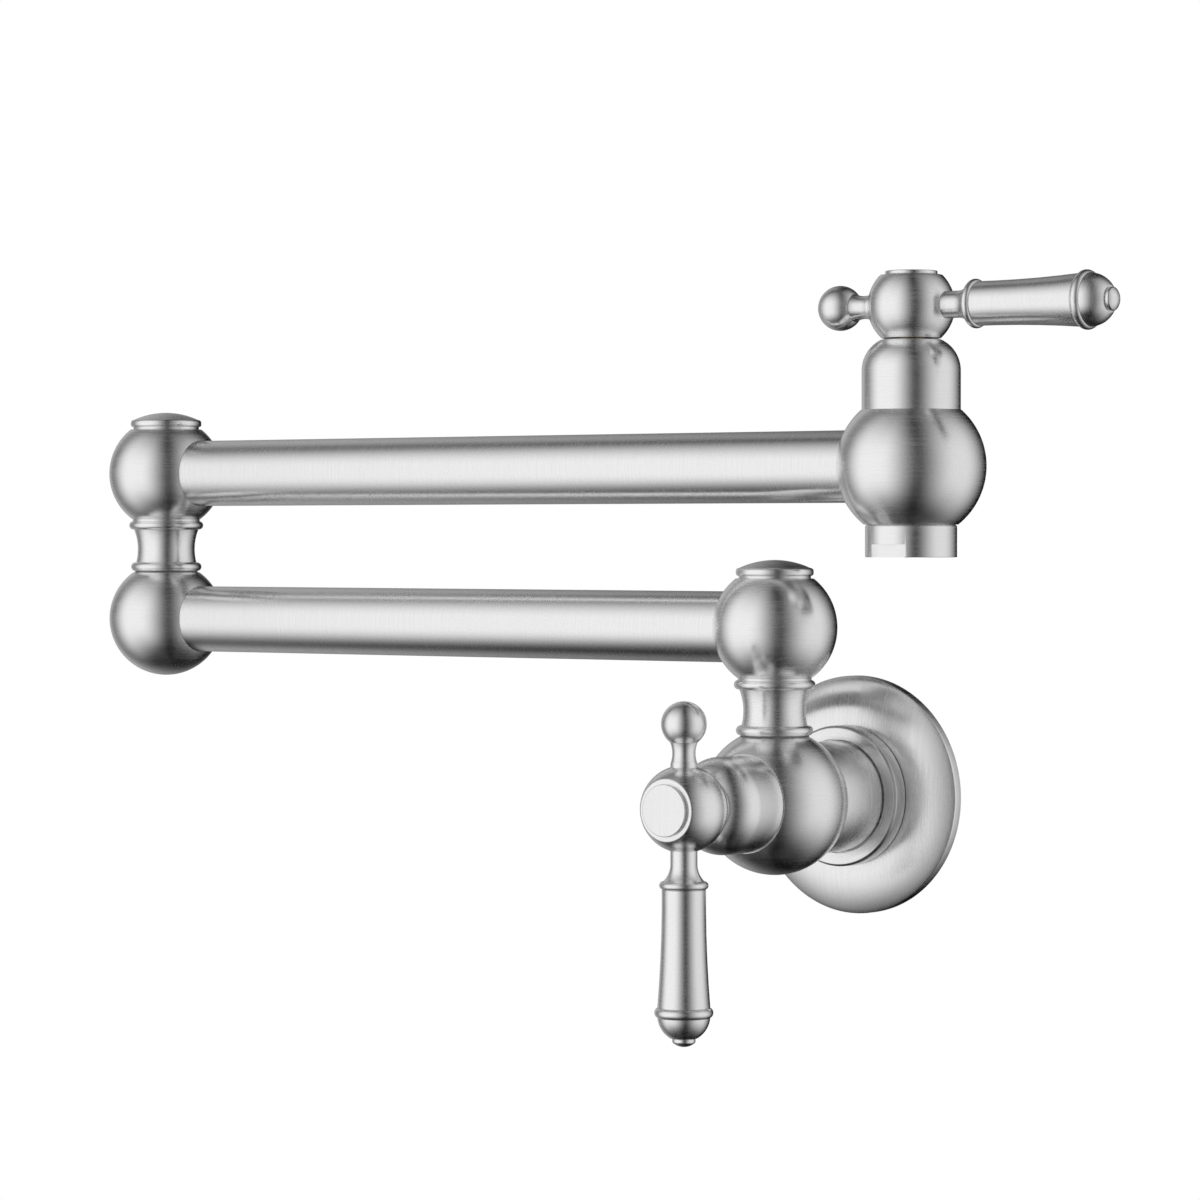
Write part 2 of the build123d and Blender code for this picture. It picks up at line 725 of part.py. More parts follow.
def build_cartridge(seat, place):
    """A quarter turn cartridge with ceramic discs, closed as built, in its valve body."""
    cage_bore = cage_radius - cage_wall
    cage_foot = cage_lift - seat_depth
    disc_radius = cage_bore - disc_gap
    fixed_foot = seal_height - seat_depth
    moving_foot = fixed_foot + disc_height
    moving_top = moving_foot + disc_height
    stem_collar_top = cage_ceiling - stem_play
    stem_collar_foot = stem_collar_top - stem_collar_height
    stem_shoulder = cartridge_top + stem_waist_lift - stem_play
    stem_end = hub_distance + hub_web_foot - spline_end_gap
    ring_floor = stem_radius - stem_ring_depth

    with BuildPart() as cartridge_housing:
        turn(
            seat,
            (cage_bore, cage_foot),
            (cage_radius, cage_foot),
            (cage_radius, thread_start),
            (cartridge_thread_radius, thread_start),
            (cartridge_thread_radius, bonnet_seat),
            (cartridge_neck_radius, bonnet_seat),
            (cartridge_neck_radius, cartridge_top),
            (stem_bore_radius, cartridge_top),
            (stem_bore_radius, cage_ceiling),
            (cage_bore, cage_ceiling),
        )
        with BuildSketch(seat.offset(bonnet_seat)):
            RegularPolygon(cartridge_flats / 2, hexagon_sides, major_radius=False)
            Circle(stem_bore_radius, mode=Mode.SUBTRACT)
        extrude(amount=cartridge_flange_height)
        with BuildSketch(side_plane(seat)):
            with Locations((window_floor + window_height / 2, 0)):
                Rectangle(window_height, window_width)
        extrude(amount=cage_radius + cage_wall, both=True, mode=Mode.SUBTRACT)
    save(cartridge_housing, f"{place}_cartridge_housing")

    with BuildPart() as seat_seal:
        ring(seat, seal_inner_radius, disc_radius, -seat_depth, fixed_foot)
    save(seat_seal, f"{place}_seat_seal")

    with BuildPart() as fixed_disc:
        with BuildSketch(seat.offset(fixed_foot)):
            Circle(disc_radius)
            with PolarLocations(0, 2):
                SlotArc(disc_port, disc_port_width, mode=Mode.SUBTRACT)
        extrude(amount=disc_height)
    save(fixed_disc, f"{place}_fixed_disc")

    with BuildPart() as moving_disc:
        with BuildSketch(seat.offset(moving_foot)):
            Circle(disc_radius)
            with PolarLocations(0, 2, start_angle=90):
                SlotArc(disc_port, disc_port_width, mode=Mode.SUBTRACT)
        extrude(amount=disc_height)
        with BuildSketch(seat.offset(moving_top - tang_depth)):
            Rectangle(2 * disc_radius, tang_width + 2 * tang_play)
        extrude(amount=tang_depth, mode=Mode.SUBTRACT)
    save(moving_disc, f"{place}_moving_disc")

    with BuildPart() as valve_stem:
        turn(
            seat,
            (0, stem_collar_foot),
            (stem_collar_radius, stem_collar_foot),
            (stem_collar_radius, stem_collar_top),
            (stem_radius, stem_collar_top),
            (stem_radius, stem_shoulder),
            (stem_waist_radius, stem_shoulder),
            (stem_waist_radius, spline_start),
            (0, spline_start),
        )
        with BuildSketch(seat.offset(moving_top - tang_depth)):
            Circle(tang_radius)
            Rectangle(2 * tang_radius, tang_width, mode=Mode.INTERSECT)
        extrude(amount=stem_collar_foot - moving_top + tang_depth)
        with BuildSketch(seat.offset(spline_start)):
            Polygon(*spline_corners(spline_radius), align=None)
        extrude(amount=stem_end - spline_start)
        for middle in (stem_ring_low, stem_ring_high):
            low = middle - stem_ring_width / 2
            high = middle + stem_ring_width / 2
            ring(seat, ring_floor, stem_bore_radius, low, high, mode=Mode.SUBTRACT)
        screw_end = hub_distance + hub_web_top - hub_screw_length
        bore(seat, hub_screw_radius + thread_gap, screw_end - hub_screw_gap, stem_end)
    save(valve_stem, f"{place}_valve_stem")

    with BuildPart() as stem_rings:
        with Locations(seat.offset(stem_ring_low), seat.offset(stem_ring_high)):
            Torus(
                (stem_bore_radius + ring_floor) / 2,
                (stem_bore_radius - ring_floor) / 2 - ring_gap,
            )
    save(stem_rings, f"{place}_stem_rings")


def build_bonnet(seat, place):
    """The shouldered sleeve that screws on the cartridge's neck and hides it."""
    web_foot = bonnet_seat + cartridge_flange_height + bonnet_web_lift
    web_top = cartridge_top + stem_waist_lift
    web_bore = cartridge_neck_radius + thread_gap
    mouth = stem_waist_radius + bonnet_mouth_gap
    with BuildPart() as bonnet:
        with BuildSketch(profile_plane(seat)):
            with BuildLine():
                side = Line((bonnet_radius, bonnet_seat), (bonnet_radius, bonnet_straight))
                shoulder = TangentArc(side @ 1, (bonnet_top_radius, bonnet_top), tangent=(0, 1))
                Polyline(
                    shoulder @ 1,
                    (mouth, bonnet_top),
                    (mouth, web_top),
                    (web_bore, web_top),
                    (web_bore, web_foot),
                    (bonnet_radius - bonnet_wall, web_foot),
                    (bonnet_radius - bonnet_wall, bonnet_seat),
                    side @ 0,
                )
            make_face()
        revolve(axis=turning_axis(seat))
    save(bonnet, f"{place}_bonnet")


# ---------------------------------------------------------------- handle
def build_handle_hub(hub, place):
    """The truncated ball that turns the stem, with its screw and its index cap."""
    lever_side = side_plane(hub)
    finial_side = side_plane(hub, -1)

    with BuildPart() as handle_hub:
        with BuildSketch(profile_plane(hub)):
            with BuildLine():
                ball = ThreePointArc(
                    (ball_section(hub_radius, hub_foot), -hub_foot),
                    (hub_radius, 0),
                    (ball_section(hub_radius, hub_face), hub_face),
                )
                Polyline(ball @ 1, (0, hub_face), (0, -hub_foot), ball @ 0)
            make_face()
        revolve(axis=turning_axis(hub))
        bore(hub, stem_waist_radius + hub_screw_gap, -hub_foot, spline_entry - hub_foot)
        with BuildSketch(hub.offset(-hub_foot)):
            Polygon(*spline_corners(spline_radius + spline_gap), align=None)
        extrude(amount=hub_foot + hub_web_foot, mode=Mode.SUBTRACT)
        bore(hub, hub_screw_radius + hub_screw_gap, hub_web_foot, hub_web_top)
        bore(hub, hub_counterbore_radius, hub_web_top, hub_face)
        for side in (lever_side, finial_side):
            bore(side, lever_thread_radius + thread_gap, lever_thread_end, lever_seat)
            bore(side, lever_neck_radius + thread_gap, lever_seat, hub_radius + cut_margin)
    save(handle_hub, f"{place}_handle_hub")

    with BuildPart() as hub_screw:
        head_top = hub_web_top + hub_screw_head_height
        turn(
            hub,
            (0, hub_web_top - hub_screw_length),
            (hub_screw_radius, hub_web_top - hub_screw_length),
            (hub_screw_radius, hub_web_top),
            (hub_screw_head_radius, hub_web_top),
            (hub_screw_head_radius, head_top),
            (0, head_top),
        )
        with BuildSketch(hub.offset(head_top - hub_screw_key_depth)):
            RegularPolygon(hub_screw_key_flats / 2, hexagon_sides, major_radius=False)
        extrude(amount=hub_screw_key_depth, mode=Mode.SUBTRACT)
    save(hub_screw, f"{place}_hub_screw")

    with BuildPart() as index_cap:
        plug_radius = hub_counterbore_radius - thread_gap
        with BuildSketch(hub.offset(hub_face)):
            Circle(index_radius)
        extrude(amount=index_proud)
        fillet(end_edge(index_cap, hub, -1), index_round)
        ring(hub, plug_radius - index_plug_wall, plug_radius, hub_face - index_plug_length, hub_face)
    save(index_cap, f"{place}_index_cap")


def build_lever(hub, place):
    """The lever: stem with its rod, grip sleeve, end piece and the small button that holds them."""
    lever = side_plane(hub)
    hole_radius = button_screw_radius + thread_gap
    rod_bore = lever_rod_radius + thread_gap

    with BuildPart() as lever_stem:
        with BuildSketch(profile_plane(lever)):
            with BuildLine():
                neck = Line((lever_neck_radius, lever_seat), (lever_neck_radius, lever_neck_end))
                flare = TangentArc(neck @ 1, (lever_flare_radius, lever_flare_end), tangent=(0, 1))
                bead = ThreePointArc(
                    flare @ 1,
                    (lever_bead_radius, (lever_flare_end + lever_bead_end) / 2),
                    (lever_flare_radius, lever_bead_end),
                )
                Polyline(
                    bead @ 1,
                    (lever_rod_radius, lever_bead_end),
                    (lever_rod_radius, lever_rod_end),
                    (hole_radius, lever_rod_end),
                    (hole_radius, button_hole_end),
                    (0, button_hole_end),
                    (0, lever_thread_end),
                    (lever_thread_radius, lever_thread_end),
                    (lever_thread_radius, lever_seat),
                    neck @ 0,
                )
            make_face()
        revolve(axis=turning_axis(lever))
    save(lever_stem, f"{place}_lever_stem")

    with BuildPart() as lever_grip:
        with BuildSketch(profile_plane(lever)):
            with BuildLine():
                straight = Line((grip_radius, lever_bead_end), (grip_radius, grip_straight_end))
                flare = ThreePointArc(
                    straight @ 1, (grip_middle_radius, grip_middle), (grip_end_radius, grip_end)
                )
                Polyline(flare @ 1, (rod_bore, grip_end), (rod_bore, lever_bead_end), straight @ 0)
            make_face()
        revolve(axis=turning_axis(lever))
    save(lever_grip, f"{place}_lever_grip")

    with BuildPart() as lever_end:
        dome_foot_radius = ball_section(end_dome_radius, end_bead_end - end_dome_centre)
        dome_top_radius = ball_section(end_dome_radius, button_foot - end_dome_centre)
        dome_middle = (end_bead_end + button_foot) / 2
        with BuildSketch(profile_plane(lever)):
            with BuildLine():
                bead = ThreePointArc(
                    (grip_end_radius, grip_end),
                    (end_bead_radius, (grip_end + end_bead_end) / 2),
                    (dome_foot_radius, end_bead_end),
                )
                dome = ThreePointArc(
                    bead @ 1,
                    (ball_section(end_dome_radius, dome_middle - end_dome_centre), dome_middle),
                    (dome_top_radius, button_foot),
                )
                Polyline(
                    dome @ 1,
                    (hole_radius, button_foot),
                    (hole_radius, lever_rod_end),
                    (rod_bore, lever_rod_end),
                    (rod_bore, grip_end),
                    bead @ 0,
                )
            make_face()
        revolve(axis=turning_axis(lever))
    save(lever_end, f"{place}_lever_end")

    with BuildPart() as lever_button:
        with BuildSketch(profile_plane(lever)):
            with BuildLine():
                dome = TangentArc((0, button_tip), (button_radius, button_shoulder), tangent=(1, 0))
                Polyline(
                    dome @ 1,
                    (button_radius, button_foot),
                    (button_screw_radius, button_foot),
                    (button_screw_radius, button_screw_end),
                    (0, button_screw_end),
                    dome @ 0,
                )
            make_face()
        revolve(axis=turning_axis(lever))
        shoulder_circles = round_edges(lever_button).group_by(SortBy.RADIUS)[-1]
        fillet(shoulder_circles.sort_by(turning_axis(lever))[-1], button_round)
    save(lever_button, f"{place}_lever_button")


def build_finial(hub, place):
    """The ball finial screwed into the hub opposite the lever."""
    finial_side = side_plane(hub, -1)
    with BuildPart() as finial:
        with BuildSketch(profile_plane(finial_side)):
            with BuildLine():
                flange = Line(
                    (finial_flange_radius, lever_seat), (finial_flange_radius, finial_flange_end)
                )
                ball_foot_radius = ball_section(finial_ball_radius, finial_ball_foot - finial_ball_centre)
                waist = ThreePointArc(
                    flange @ 1,
                    (finial_waist_radius, finial_waist),
                    (ball_foot_radius, finial_ball_foot),
                )
                ball = ThreePointArc(
                    waist @ 1,
                    (finial_ball_radius, finial_ball_centre),
                    (0, finial_ball_centre + finial_ball_radius),
                )
                Polyline(
                    ball @ 1,
                    (0, lever_thread_end),
                    (lever_thread_radius, lever_thread_end),
                    (lever_thread_radius, lever_seat),
                    flange @ 0,
                )
            make_face()
        revolve(axis=turning_axis(finial_side))
    save(finial, f"{place}_finial")


for valve_seat, valve_place in ((wall_valve, "wall"), (spout_valve, "spout")):
    build_cartridge(valve_seat, valve_place)
    build_bonnet(valve_seat, valve_place)
    handle_centre = valve_seat.offset(hub_distance)
    build_handle_hub(handle_centre, valve_place)
    build_lever(handle_centre, valve_place)
    build_finial(handle_centre, valve_place)

# ---------------------------------------------------------------- nozzle and aerator
aerator_outer = aerator_radius - aerator_gap
insert_top = aerator_top + aerator_washer_thickness
insert_end = nozzle_end - aerator_recess
insert_face = insert_end - aerator_face

with BuildPart() as spout_nozzle:
    turn(
        spout_outlet,
        (nozzle_bore_radius, nozzle_thread_top),
        (nozzle_thread_radius, nozzle_thread_top),
        (nozzle_thread_radius, nozzle_seat),
        (nozzle_radius - nozzle_top_chamfer, nozzle_seat),
        (nozzle_radius, nozzle_seat + nozzle_top_chamfer),
        (nozzle_radius, nozzle_end),
        (aerator_radius, nozzle_end),
        (aerator_radius, aerator_top),
        (nozzle_bore_radius, aerator_top),
    )
    with BuildSketch(spout_outlet.offset(nozzle_end)):
        Circle(nozzle_radius + cut_margin)
        Rectangle(2 * (nozzle_radius + cut_margin), nozzle_flats, mode=Mode.SUBTRACT)
    extrude(amount=-nozzle_flat_height, mode=Mode.SUBTRACT)
save(spout_nozzle, "spout_nozzle")

with BuildPart() as aerator_washer:
    ring(spout_outlet, aerator_washer_inner, aerator_outer, aerator_top, insert_top)
save(aerator_washer, "aerator_washer")

with BuildPart() as aerator_insert:
    ring(spout_outlet, aerator_outer - aerator_wall, aerator_outer, insert_top, insert_end)
    with BuildSketch(spout_outlet.offset(insert_face)):
        Circle(aerator_outer)
        Circle(aerator_hole_radius, mode=Mode.SUBTRACT)
        for ring_number in range(1, aerator_rings + 1):
            with PolarLocations(ring_number * aerator_ring_pitch, ring_number * aerator_ring_step):
                Circle(aerator_hole_radius, mode=Mode.SUBTRACT)
    extrude(amount=aerator_face)
save(aerator_insert, "aerator_insert")
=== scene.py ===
"""A wall mounted pot filler in brushed nickel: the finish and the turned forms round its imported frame."""

import json
import math

import bmesh
import bpy
from bpy.props import FloatProperty, FloatVectorProperty, IntProperty, PointerProperty
from mathutils import Matrix, Vector


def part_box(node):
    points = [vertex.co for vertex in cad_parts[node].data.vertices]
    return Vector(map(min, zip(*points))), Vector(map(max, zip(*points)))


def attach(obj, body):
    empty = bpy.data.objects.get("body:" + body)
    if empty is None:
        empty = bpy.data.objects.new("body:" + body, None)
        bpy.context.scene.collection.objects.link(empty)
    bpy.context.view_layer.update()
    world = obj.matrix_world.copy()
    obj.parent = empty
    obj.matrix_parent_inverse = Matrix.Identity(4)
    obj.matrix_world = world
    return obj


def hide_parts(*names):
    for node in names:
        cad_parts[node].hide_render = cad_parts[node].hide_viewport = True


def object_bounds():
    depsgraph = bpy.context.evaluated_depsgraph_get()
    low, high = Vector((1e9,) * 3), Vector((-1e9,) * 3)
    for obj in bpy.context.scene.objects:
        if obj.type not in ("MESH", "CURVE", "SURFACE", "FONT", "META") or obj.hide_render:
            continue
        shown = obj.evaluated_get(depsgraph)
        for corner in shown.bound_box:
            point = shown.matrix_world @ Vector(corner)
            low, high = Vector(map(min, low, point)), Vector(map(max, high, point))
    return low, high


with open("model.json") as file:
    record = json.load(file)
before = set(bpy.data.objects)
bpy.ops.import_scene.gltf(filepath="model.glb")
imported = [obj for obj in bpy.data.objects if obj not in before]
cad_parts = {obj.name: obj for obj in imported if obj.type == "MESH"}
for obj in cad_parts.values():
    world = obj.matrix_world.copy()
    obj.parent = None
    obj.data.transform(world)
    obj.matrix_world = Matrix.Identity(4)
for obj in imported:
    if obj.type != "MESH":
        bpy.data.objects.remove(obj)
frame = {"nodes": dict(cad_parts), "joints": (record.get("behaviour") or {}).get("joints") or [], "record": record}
cad_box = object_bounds()

bl_info = {
    "name": "Pot Filler",
    "version": (1, 0, 0),
    "blender": (4, 5, 0),
    "location": "3D View > Sidebar > Pot Filler",
    "description": "Builds the looks of a wall mounted pot filler round its frame",
    "category": "Object",
}

MM = 0.001
X, Y, Z = Vector((1, 0, 0)), Vector((0, 1, 0)), Vector((0, 0, 1))


def mm(*sizes):
    """Sizes in millimetres, as Blender's metres."""
    return [size * MM for size in sizes]


# ---- places, read from the frame
def joint(name):
    """The joint of that name in the frame."""
    return next(j for j in frame["joints"] if j["name"] == name)


def seat(origin, along, x_dir):
    """A place whose z runs along a piece's own axis, as a matrix."""
    y_dir = along.cross(x_dir)
    turned = Matrix((x_dir, y_dir, along)).transposed().to_4x4()
    return Matrix.Translation(origin) @ turned


def middle(node):
    """The centre of a node's box."""
    low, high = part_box(node)
    return (low + high) / 2


def on_axis(joint_name, height):
    """A point on an upright joint's axis."""
    place = Vector(joint(joint_name)["pos_m"])
    return Vector((place.x, place.y, height))


def span(node, place):
    """Where a node begins and ends along a seat's axis."""
    low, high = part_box(node)
    along = place.to_3x3() @ Z
    reach = [(corner - place.translation).dot(along) for corner in (low, high)]
    return min(reach), max(reach)


LOWER_ARM_HEIGHT = middle("lower_arm_tube").z
UPPER_ARM_HEIGHT = middle("upper_arm_tube").z

WALL = seat(Vector((0, 0, 0)), -Y, X)
WALL_VALVE = seat(on_axis("wall_swivel", 0), -Y, -Z)
WALL_POST = seat(on_axis("wall_swivel", 0), Z, X)
LOWER_HUB = seat(on_axis("wall_swivel", LOWER_ARM_HEIGHT), Z, -X)
ELBOW_POST = seat(on_axis("elbow_swivel", LOWER_ARM_HEIGHT), Z, X)
UPPER_HUB = seat(on_axis("elbow_swivel", UPPER_ARM_HEIGHT), Z, X)
SPOUT_VALVE = seat(on_axis("spout_handle_turn", UPPER_ARM_HEIGHT), Z, X)
SPOUT_OUTLET = seat(on_axis("spout_handle_turn", UPPER_ARM_HEIGHT), -Z, X)
WALL_HANDLE = seat(Vector((0, middle("wall_finial").y, 0)), -Y, -Z)
SPOUT_HANDLE = seat(on_axis("spout_handle_turn", middle("spout_finial").z), Z, X)


# ---- sizes that several pieces share
OVERCUT = 1.0 * MM  # how far a cutter reaches past what it opens
RUNNING_FIT = 0.05 * MM
THREAD_HOLE = 10.45 * MM  # of the cartridges and the nozzle
SEAT_PORT = 5.6 * MM
ARM_WATERWAY = 7.5 * MM
SOCKET_DEPTH = 4.8 * MM
LEVER_SEAT = 11.8 * MM
LEVER_ROD, ROD_HOLE, BUTTON_HOLE = mm(2.5, 2.55, 1.55)
CUTTER_SIDES, HOLE_SIDES = 96, 24


def sideways(place, direction=1):
    """The seat at the same point that looks out along another seat's x, or against it."""
    turned = place.to_3x3()
    return seat(place.translation, turned @ X * direction, turned @ Z)


# ---- what a user would change
def length(name, description, default, **more):
    """A length that a user can set."""
    return FloatProperty(name=name, description=description, default=default, unit="LENGTH", **more)


def turn_angle(name, description, degrees):
    """An angle that a user can set."""
    return FloatProperty(name=name, description=description, default=math.radians(degrees), subtype="ANGLE")


def brightness(name, description, default):
    """A share of full light that a user can set."""
    return FloatProperty(name=name, description=description, default=default, min=0, max=1, subtype="FACTOR")


def shade(name, description, default):
    """A colour that a user can set."""
    return FloatVectorProperty(name=name, description=description, default=default, subtype="COLOR")


class BallSizes(bpy.types.PropertyGroup):
    """The balls and tubes."""

    body_ball: length("Valve ball", "Radius of the two valve bodies", 22.6 * MM)
    arm_ball: length("Arm ball", "Radius of the arms' other balls", 19.25 * MM)
    tube: length("Tube", "Radius of the arm tubes", 11.0 * MM)
    tube_wall: length("Tube wall", "Thickness of the tubes' wall", 1.2 * MM)
    edge: length("Edge", "Rounding of the turned edges", 0.22 * MM)
    sides: IntProperty(name="Sides", description="Faces round each turned piece", default=144, min=24)


class WallSizes(bpy.types.PropertyGroup):
    """The flange and its collar."""

    flange: length("Flange", "Radius of the flange", 37.47 * MM)
    rim: length("Rim", "Height of the flange's rim", 3.45 * MM)
    collar: length("Collar", "Radius of the collar", 22.06 * MM)
    neck: length("Neck", "Radius of the neck", 17.4 * MM)


class HandleSizes(bpy.types.PropertyGroup):
    """The handles and bonnets."""

    hub: length("Hub", "Radius of the handle's hub", 13.15 * MM)
    bonnet: length("Bonnet", "Radius of the bonnets", 14.86 * MM)
    index: length("Index", "Radius of the index caps", 7.85 * MM)
    grip: length("Grip", "Radius of the grip's start", 6.62 * MM)
    grip_end: length("Grip end", "Radius of the grip's far end", 7.93 * MM)
    finial: length("Finial", "Radius of the finial's ball", 6.83 * MM)


class FinishColours(bpy.types.PropertyGroup):
    """Colours and grain of the finishes."""

    nickel: shade("Nickel", "Colour of the brushed nickel", (0.92, 0.92, 0.92))
    brass: shade("Brass", "Colour of the turned brass", (0.72, 0.52, 0.24))
    rubber: shade("Rubber", "Colour of the seals", (0.018, 0.018, 0.018))
    ceramic: shade("Ceramic", "Colour of the valve discs", (0.84, 0.82, 0.78))
    plastic: shade("Plastic", "Colour of the plastic washers", (0.15, 0.15, 0.155))
    grain: length("Grain", "Width of the brush lines", 0.45 * MM, precision=5)


class StudioSizes(bpy.types.PropertyGroup):
    """Camera, floor and soft boxes."""

    floor_drop: length("Floor", "Floor below the inlet", 1.25, subtype="DISTANCE")
    floor_size: length("Floor size", "Half the floor's side", 60.0)
    lens: FloatProperty(name="Lens", description="Focal length in millimetres", default=133.79)
    yaw: turn_angle("Yaw", "Camera's turn to the left", 36.554)
    dip: turn_angle("Dip", "Camera's tilt below level", 0.857)
    flag_radius: length("Flags", "Distance of the studio's flags", 5.0)
    left_box: brightness("Left box", "Level of the soft box on the camera's left", 0.967)
    left_middle: turn_angle("Left middle", "Turn from the camera to the left box's middle", -66)
    right_box: brightness("Right box", "Level of the soft box on the camera's right", 0.79)
    right_middle: turn_angle("Right middle", "Turn from the camera to the right box's middle", 76)
    back_box: brightness("Back box", "Level of the soft light behind the object", 0.474)
    floor_glow: brightness("Floor glow", "Light left below the boxes", 0.06)
    ceiling_glow: brightness("Ceiling glow", "Light left above the boxes", 0.144)


class PotFillerSettings(bpy.types.PropertyGroup):
    """All the settings of the pot filler."""

    balls: PointerProperty(type=BallSizes)
    wall: PointerProperty(type=WallSizes)
    handles: PointerProperty(type=HandleSizes)
    colours: PointerProperty(type=FinishColours)
    studio: PointerProperty(type=StudioSizes)


def settings():
    """The pot filler's settings in this scene."""
    return bpy.context.scene.pot_filler


# ---- shader expressions
class Link:
    """A node's output in a shader expression: arithmetic on it adds Math nodes."""

    def __init__(self, shader, socket):
        self.shader = shader
        self.socket = socket

    def math(self, operation, *others):
        return self.shader.node("Math", self, *others, operation=operation)

    def __add__(self, other):
        return self.math("ADD", other)

    def __sub__(self, other):
        return self.math("SUBTRACT", other)

    def __rsub__(self, other):
        return self.shader.node("Math", other, self, operation="SUBTRACT")

    def __mul__(self, other):
        return self.math("MULTIPLY", other)

    def __truediv__(self, other):
        return self.math("DIVIDE", other)

    def __pow__(self, other):
        return self.math("POWER", other)

    __radd__ = __add__
    __rmul__ = __mul__

    def within(self, low, high):
        """0 up to low, 1 from high, and a smooth step between."""
        ends = (low, high, 0.0, 1.0)
        return self.shader.node("MapRange", self, *ends, interpolation_type="SMOOTHSTEP")

    def output(self, name):
        """Another output of the same node."""
        return Link(self.shader, self.socket.node.outputs[name])


class Shader:
    """The node tree of a material or a world, while it is being made."""

    def __init__(self, owner):
        owner.use_nodes = True
        self.tree = owner.node_tree
        self.tree.nodes.clear()

    def node(self, kind, *values, **named):
        """Adds a node. Values fill its sockets in order; a name in small letters is a setting of its own."""
        made = self.tree.nodes.new(f"ShaderNode{kind}")
        for name in filter(str.islower, named):
            setattr(made, name, named[name])
        sockets = [socket for socket in made.inputs if socket.enabled]
        given = list(zip(sockets, values))
        given += [(made.inputs[name.replace("_", " ")], named[name]) for name in named if not name.islower()]
        for socket, value in given:
            if isinstance(value, Link):
                self.tree.links.new(value.socket, socket)
            else:
                socket.default_value = value
        outputs = [socket for socket in made.outputs if socket.enabled]
        return Link(self, outputs[0]) if outputs else made

    def place(self):
        """The place of what is shaded, in its object's own frame."""
        return self.node("TexCoord").output("Object")

    def separate(self, vector):
        """A vector's three numbers."""
        parts = self.node("SeparateXYZ", vector)
        return parts.output("X"), parts.output("Y"), parts.output("Z")

    def mix_colour(self, share, first, second):
        """One colour fading to another."""
        return self.node("Mix", share, first, second, data_type="RGBA")

    def noise(self, vector, scale, detail, fourth=None):
        """Soft noise from 0 to 1, which can take a fourth coordinate."""
        named = {"Vector": vector, "Scale": scale, "Detail": detail}
        if fourth is not None:
            named.update(noise_dimensions="4D", W=fourth)
        return self.node("TexNoise", **named)


def colour(values, level=1.0):
    """A colour with its alpha, lighter or darker by level."""
    return (*(value * level for value in values), 1.0)


# ---- finishes
def brushed_nickel(name, colours, straight=False):
    """Satin nickel, brushed round a piece's own axis, which is its object's z, or straight along its y."""
    material = bpy.data.materials.new(name)
    shader = Shader(material)
    place = shader.place()
    x, y, z = shader.separate(place)
    radius = (x * x + y * y) ** 0.5
    off_axis = radius + 0.01 * MM
    turn_x, turn_y = x / off_axis, y / off_axis
    line_length, line_depth = 30 * MM, 20 * MM

    def lines(width, spread):
        """Brush lines of a width, which fade in and out spread times round the axis or along their length."""
        if straight:
            vector = (x / width, y * spread / line_length, z / line_depth)
            return shader.noise(shader.node("CombineXYZ", *vector), 1.0, 2.0)
        vector = (radius / width, z / width, turn_x * spread)
        return shader.noise(shader.node("CombineXYZ", *vector), 1.0, 2.0, turn_y * spread)

    fine_width, fine_share, tint_range, scratch_share = 0.4, 0.25, 0.025, 0.13
    satin, dulling, scratch_gloss = 0.235, 0.04, 0.6
    coarse = lines(colours.grain, 1.3)
    fine = lines(colours.grain * fine_width, 2.2)
    clouds = shader.noise(place, 60.0, 2.0)
    streak = (coarse * (1 - fine_share) + fine * fine_share).within(0.36, 0.64)
    shades = (colour(colours.nickel, 1 - tint_range), colour(colours.nickel, 1 + tint_range))
    metal = {
        "Base_Color": shader.mix_colour(streak, *shades),
        "Metallic": 1.0,
        "Normal": shader.node("Bump", Strength=0.3, Distance=0.005 * MM, Height=coarse),
    }
    roughness = satin + streak * dulling + (clouds - 0.5) * dulling
    brush = {"Roughness": roughness, "Anisotropic": 0.72, "Anisotropic_Rotation": 0.25}
    polished = shader.node("BsdfPrincipled", **metal, **brush)
    scratched = shader.node("BsdfPrincipled", **metal, Roughness=scratch_gloss)
    surface = shader.node("MixShader", streak * scratch_share, polished, scratched)
    shader.node("OutputMaterial", surface)
    return material


def plain_finish(name, tone, roughness, metallic=0.0, spread=0.12, bump_depth=0.004 * MM):
    """A finish with a little cloudiness in its colour and gloss, for what sits inside."""
    material = bpy.data.materials.new(name)
    shader = Shader(material)
    clouds = shader.noise(shader.place(), 220.0, 3.0)
    specks = shader.noise(shader.place(), 2600.0, 2.0)
    tint = shader.mix_colour(clouds.within(0.3, 0.7), colour(tone, 1 - spread), colour(tone, 1 + spread))
    rough = roughness + (clouds - 0.5) * 0.18 + (specks - 0.5) * 0.08
    bump = shader.node("Bump", Strength=0.3, Distance=bump_depth, Height=specks)
    sockets = {"Base_Color": tint, "Metallic": metallic, "Roughness": rough, "Normal": bump}
    shader.node("OutputMaterial", shader.node("BsdfPrincipled", **sockets))
    return material


def finish(slot, straight=False):
    """The material of a slot of the record, made when it is first asked for."""
    name = f"{slot}_straight_finish" if straight else f"{slot}_finish"
    found = bpy.data.materials.get(name)
    if found:
        return found
    colours = settings().colours
    if slot == "brushed_nickel":
        return brushed_nickel(name, colours, straight)
    plain = {
        "brass": {"tone": colours.brass, "roughness": 0.28, "metallic": 1.0},
        "rubber": {"tone": colours.rubber, "roughness": 0.55, "spread": 0.3, "bump_depth": 0.02 * MM},
        "ceramic": {"tone": colours.ceramic, "roughness": 0.2, "spread": 0.03},
        "plastic": {"tone": colours.plastic, "roughness": 0.45, "spread": 0.2, "bump_depth": 0.01 * MM},
        "stainless": {"tone": colours.nickel, "roughness": 0.3, "metallic": 1.0},
    }
    if slot not in plain:
        raise RuntimeError(f"no finish is made for slot {slot}")
    return plain_finish(name, **plain[slot])


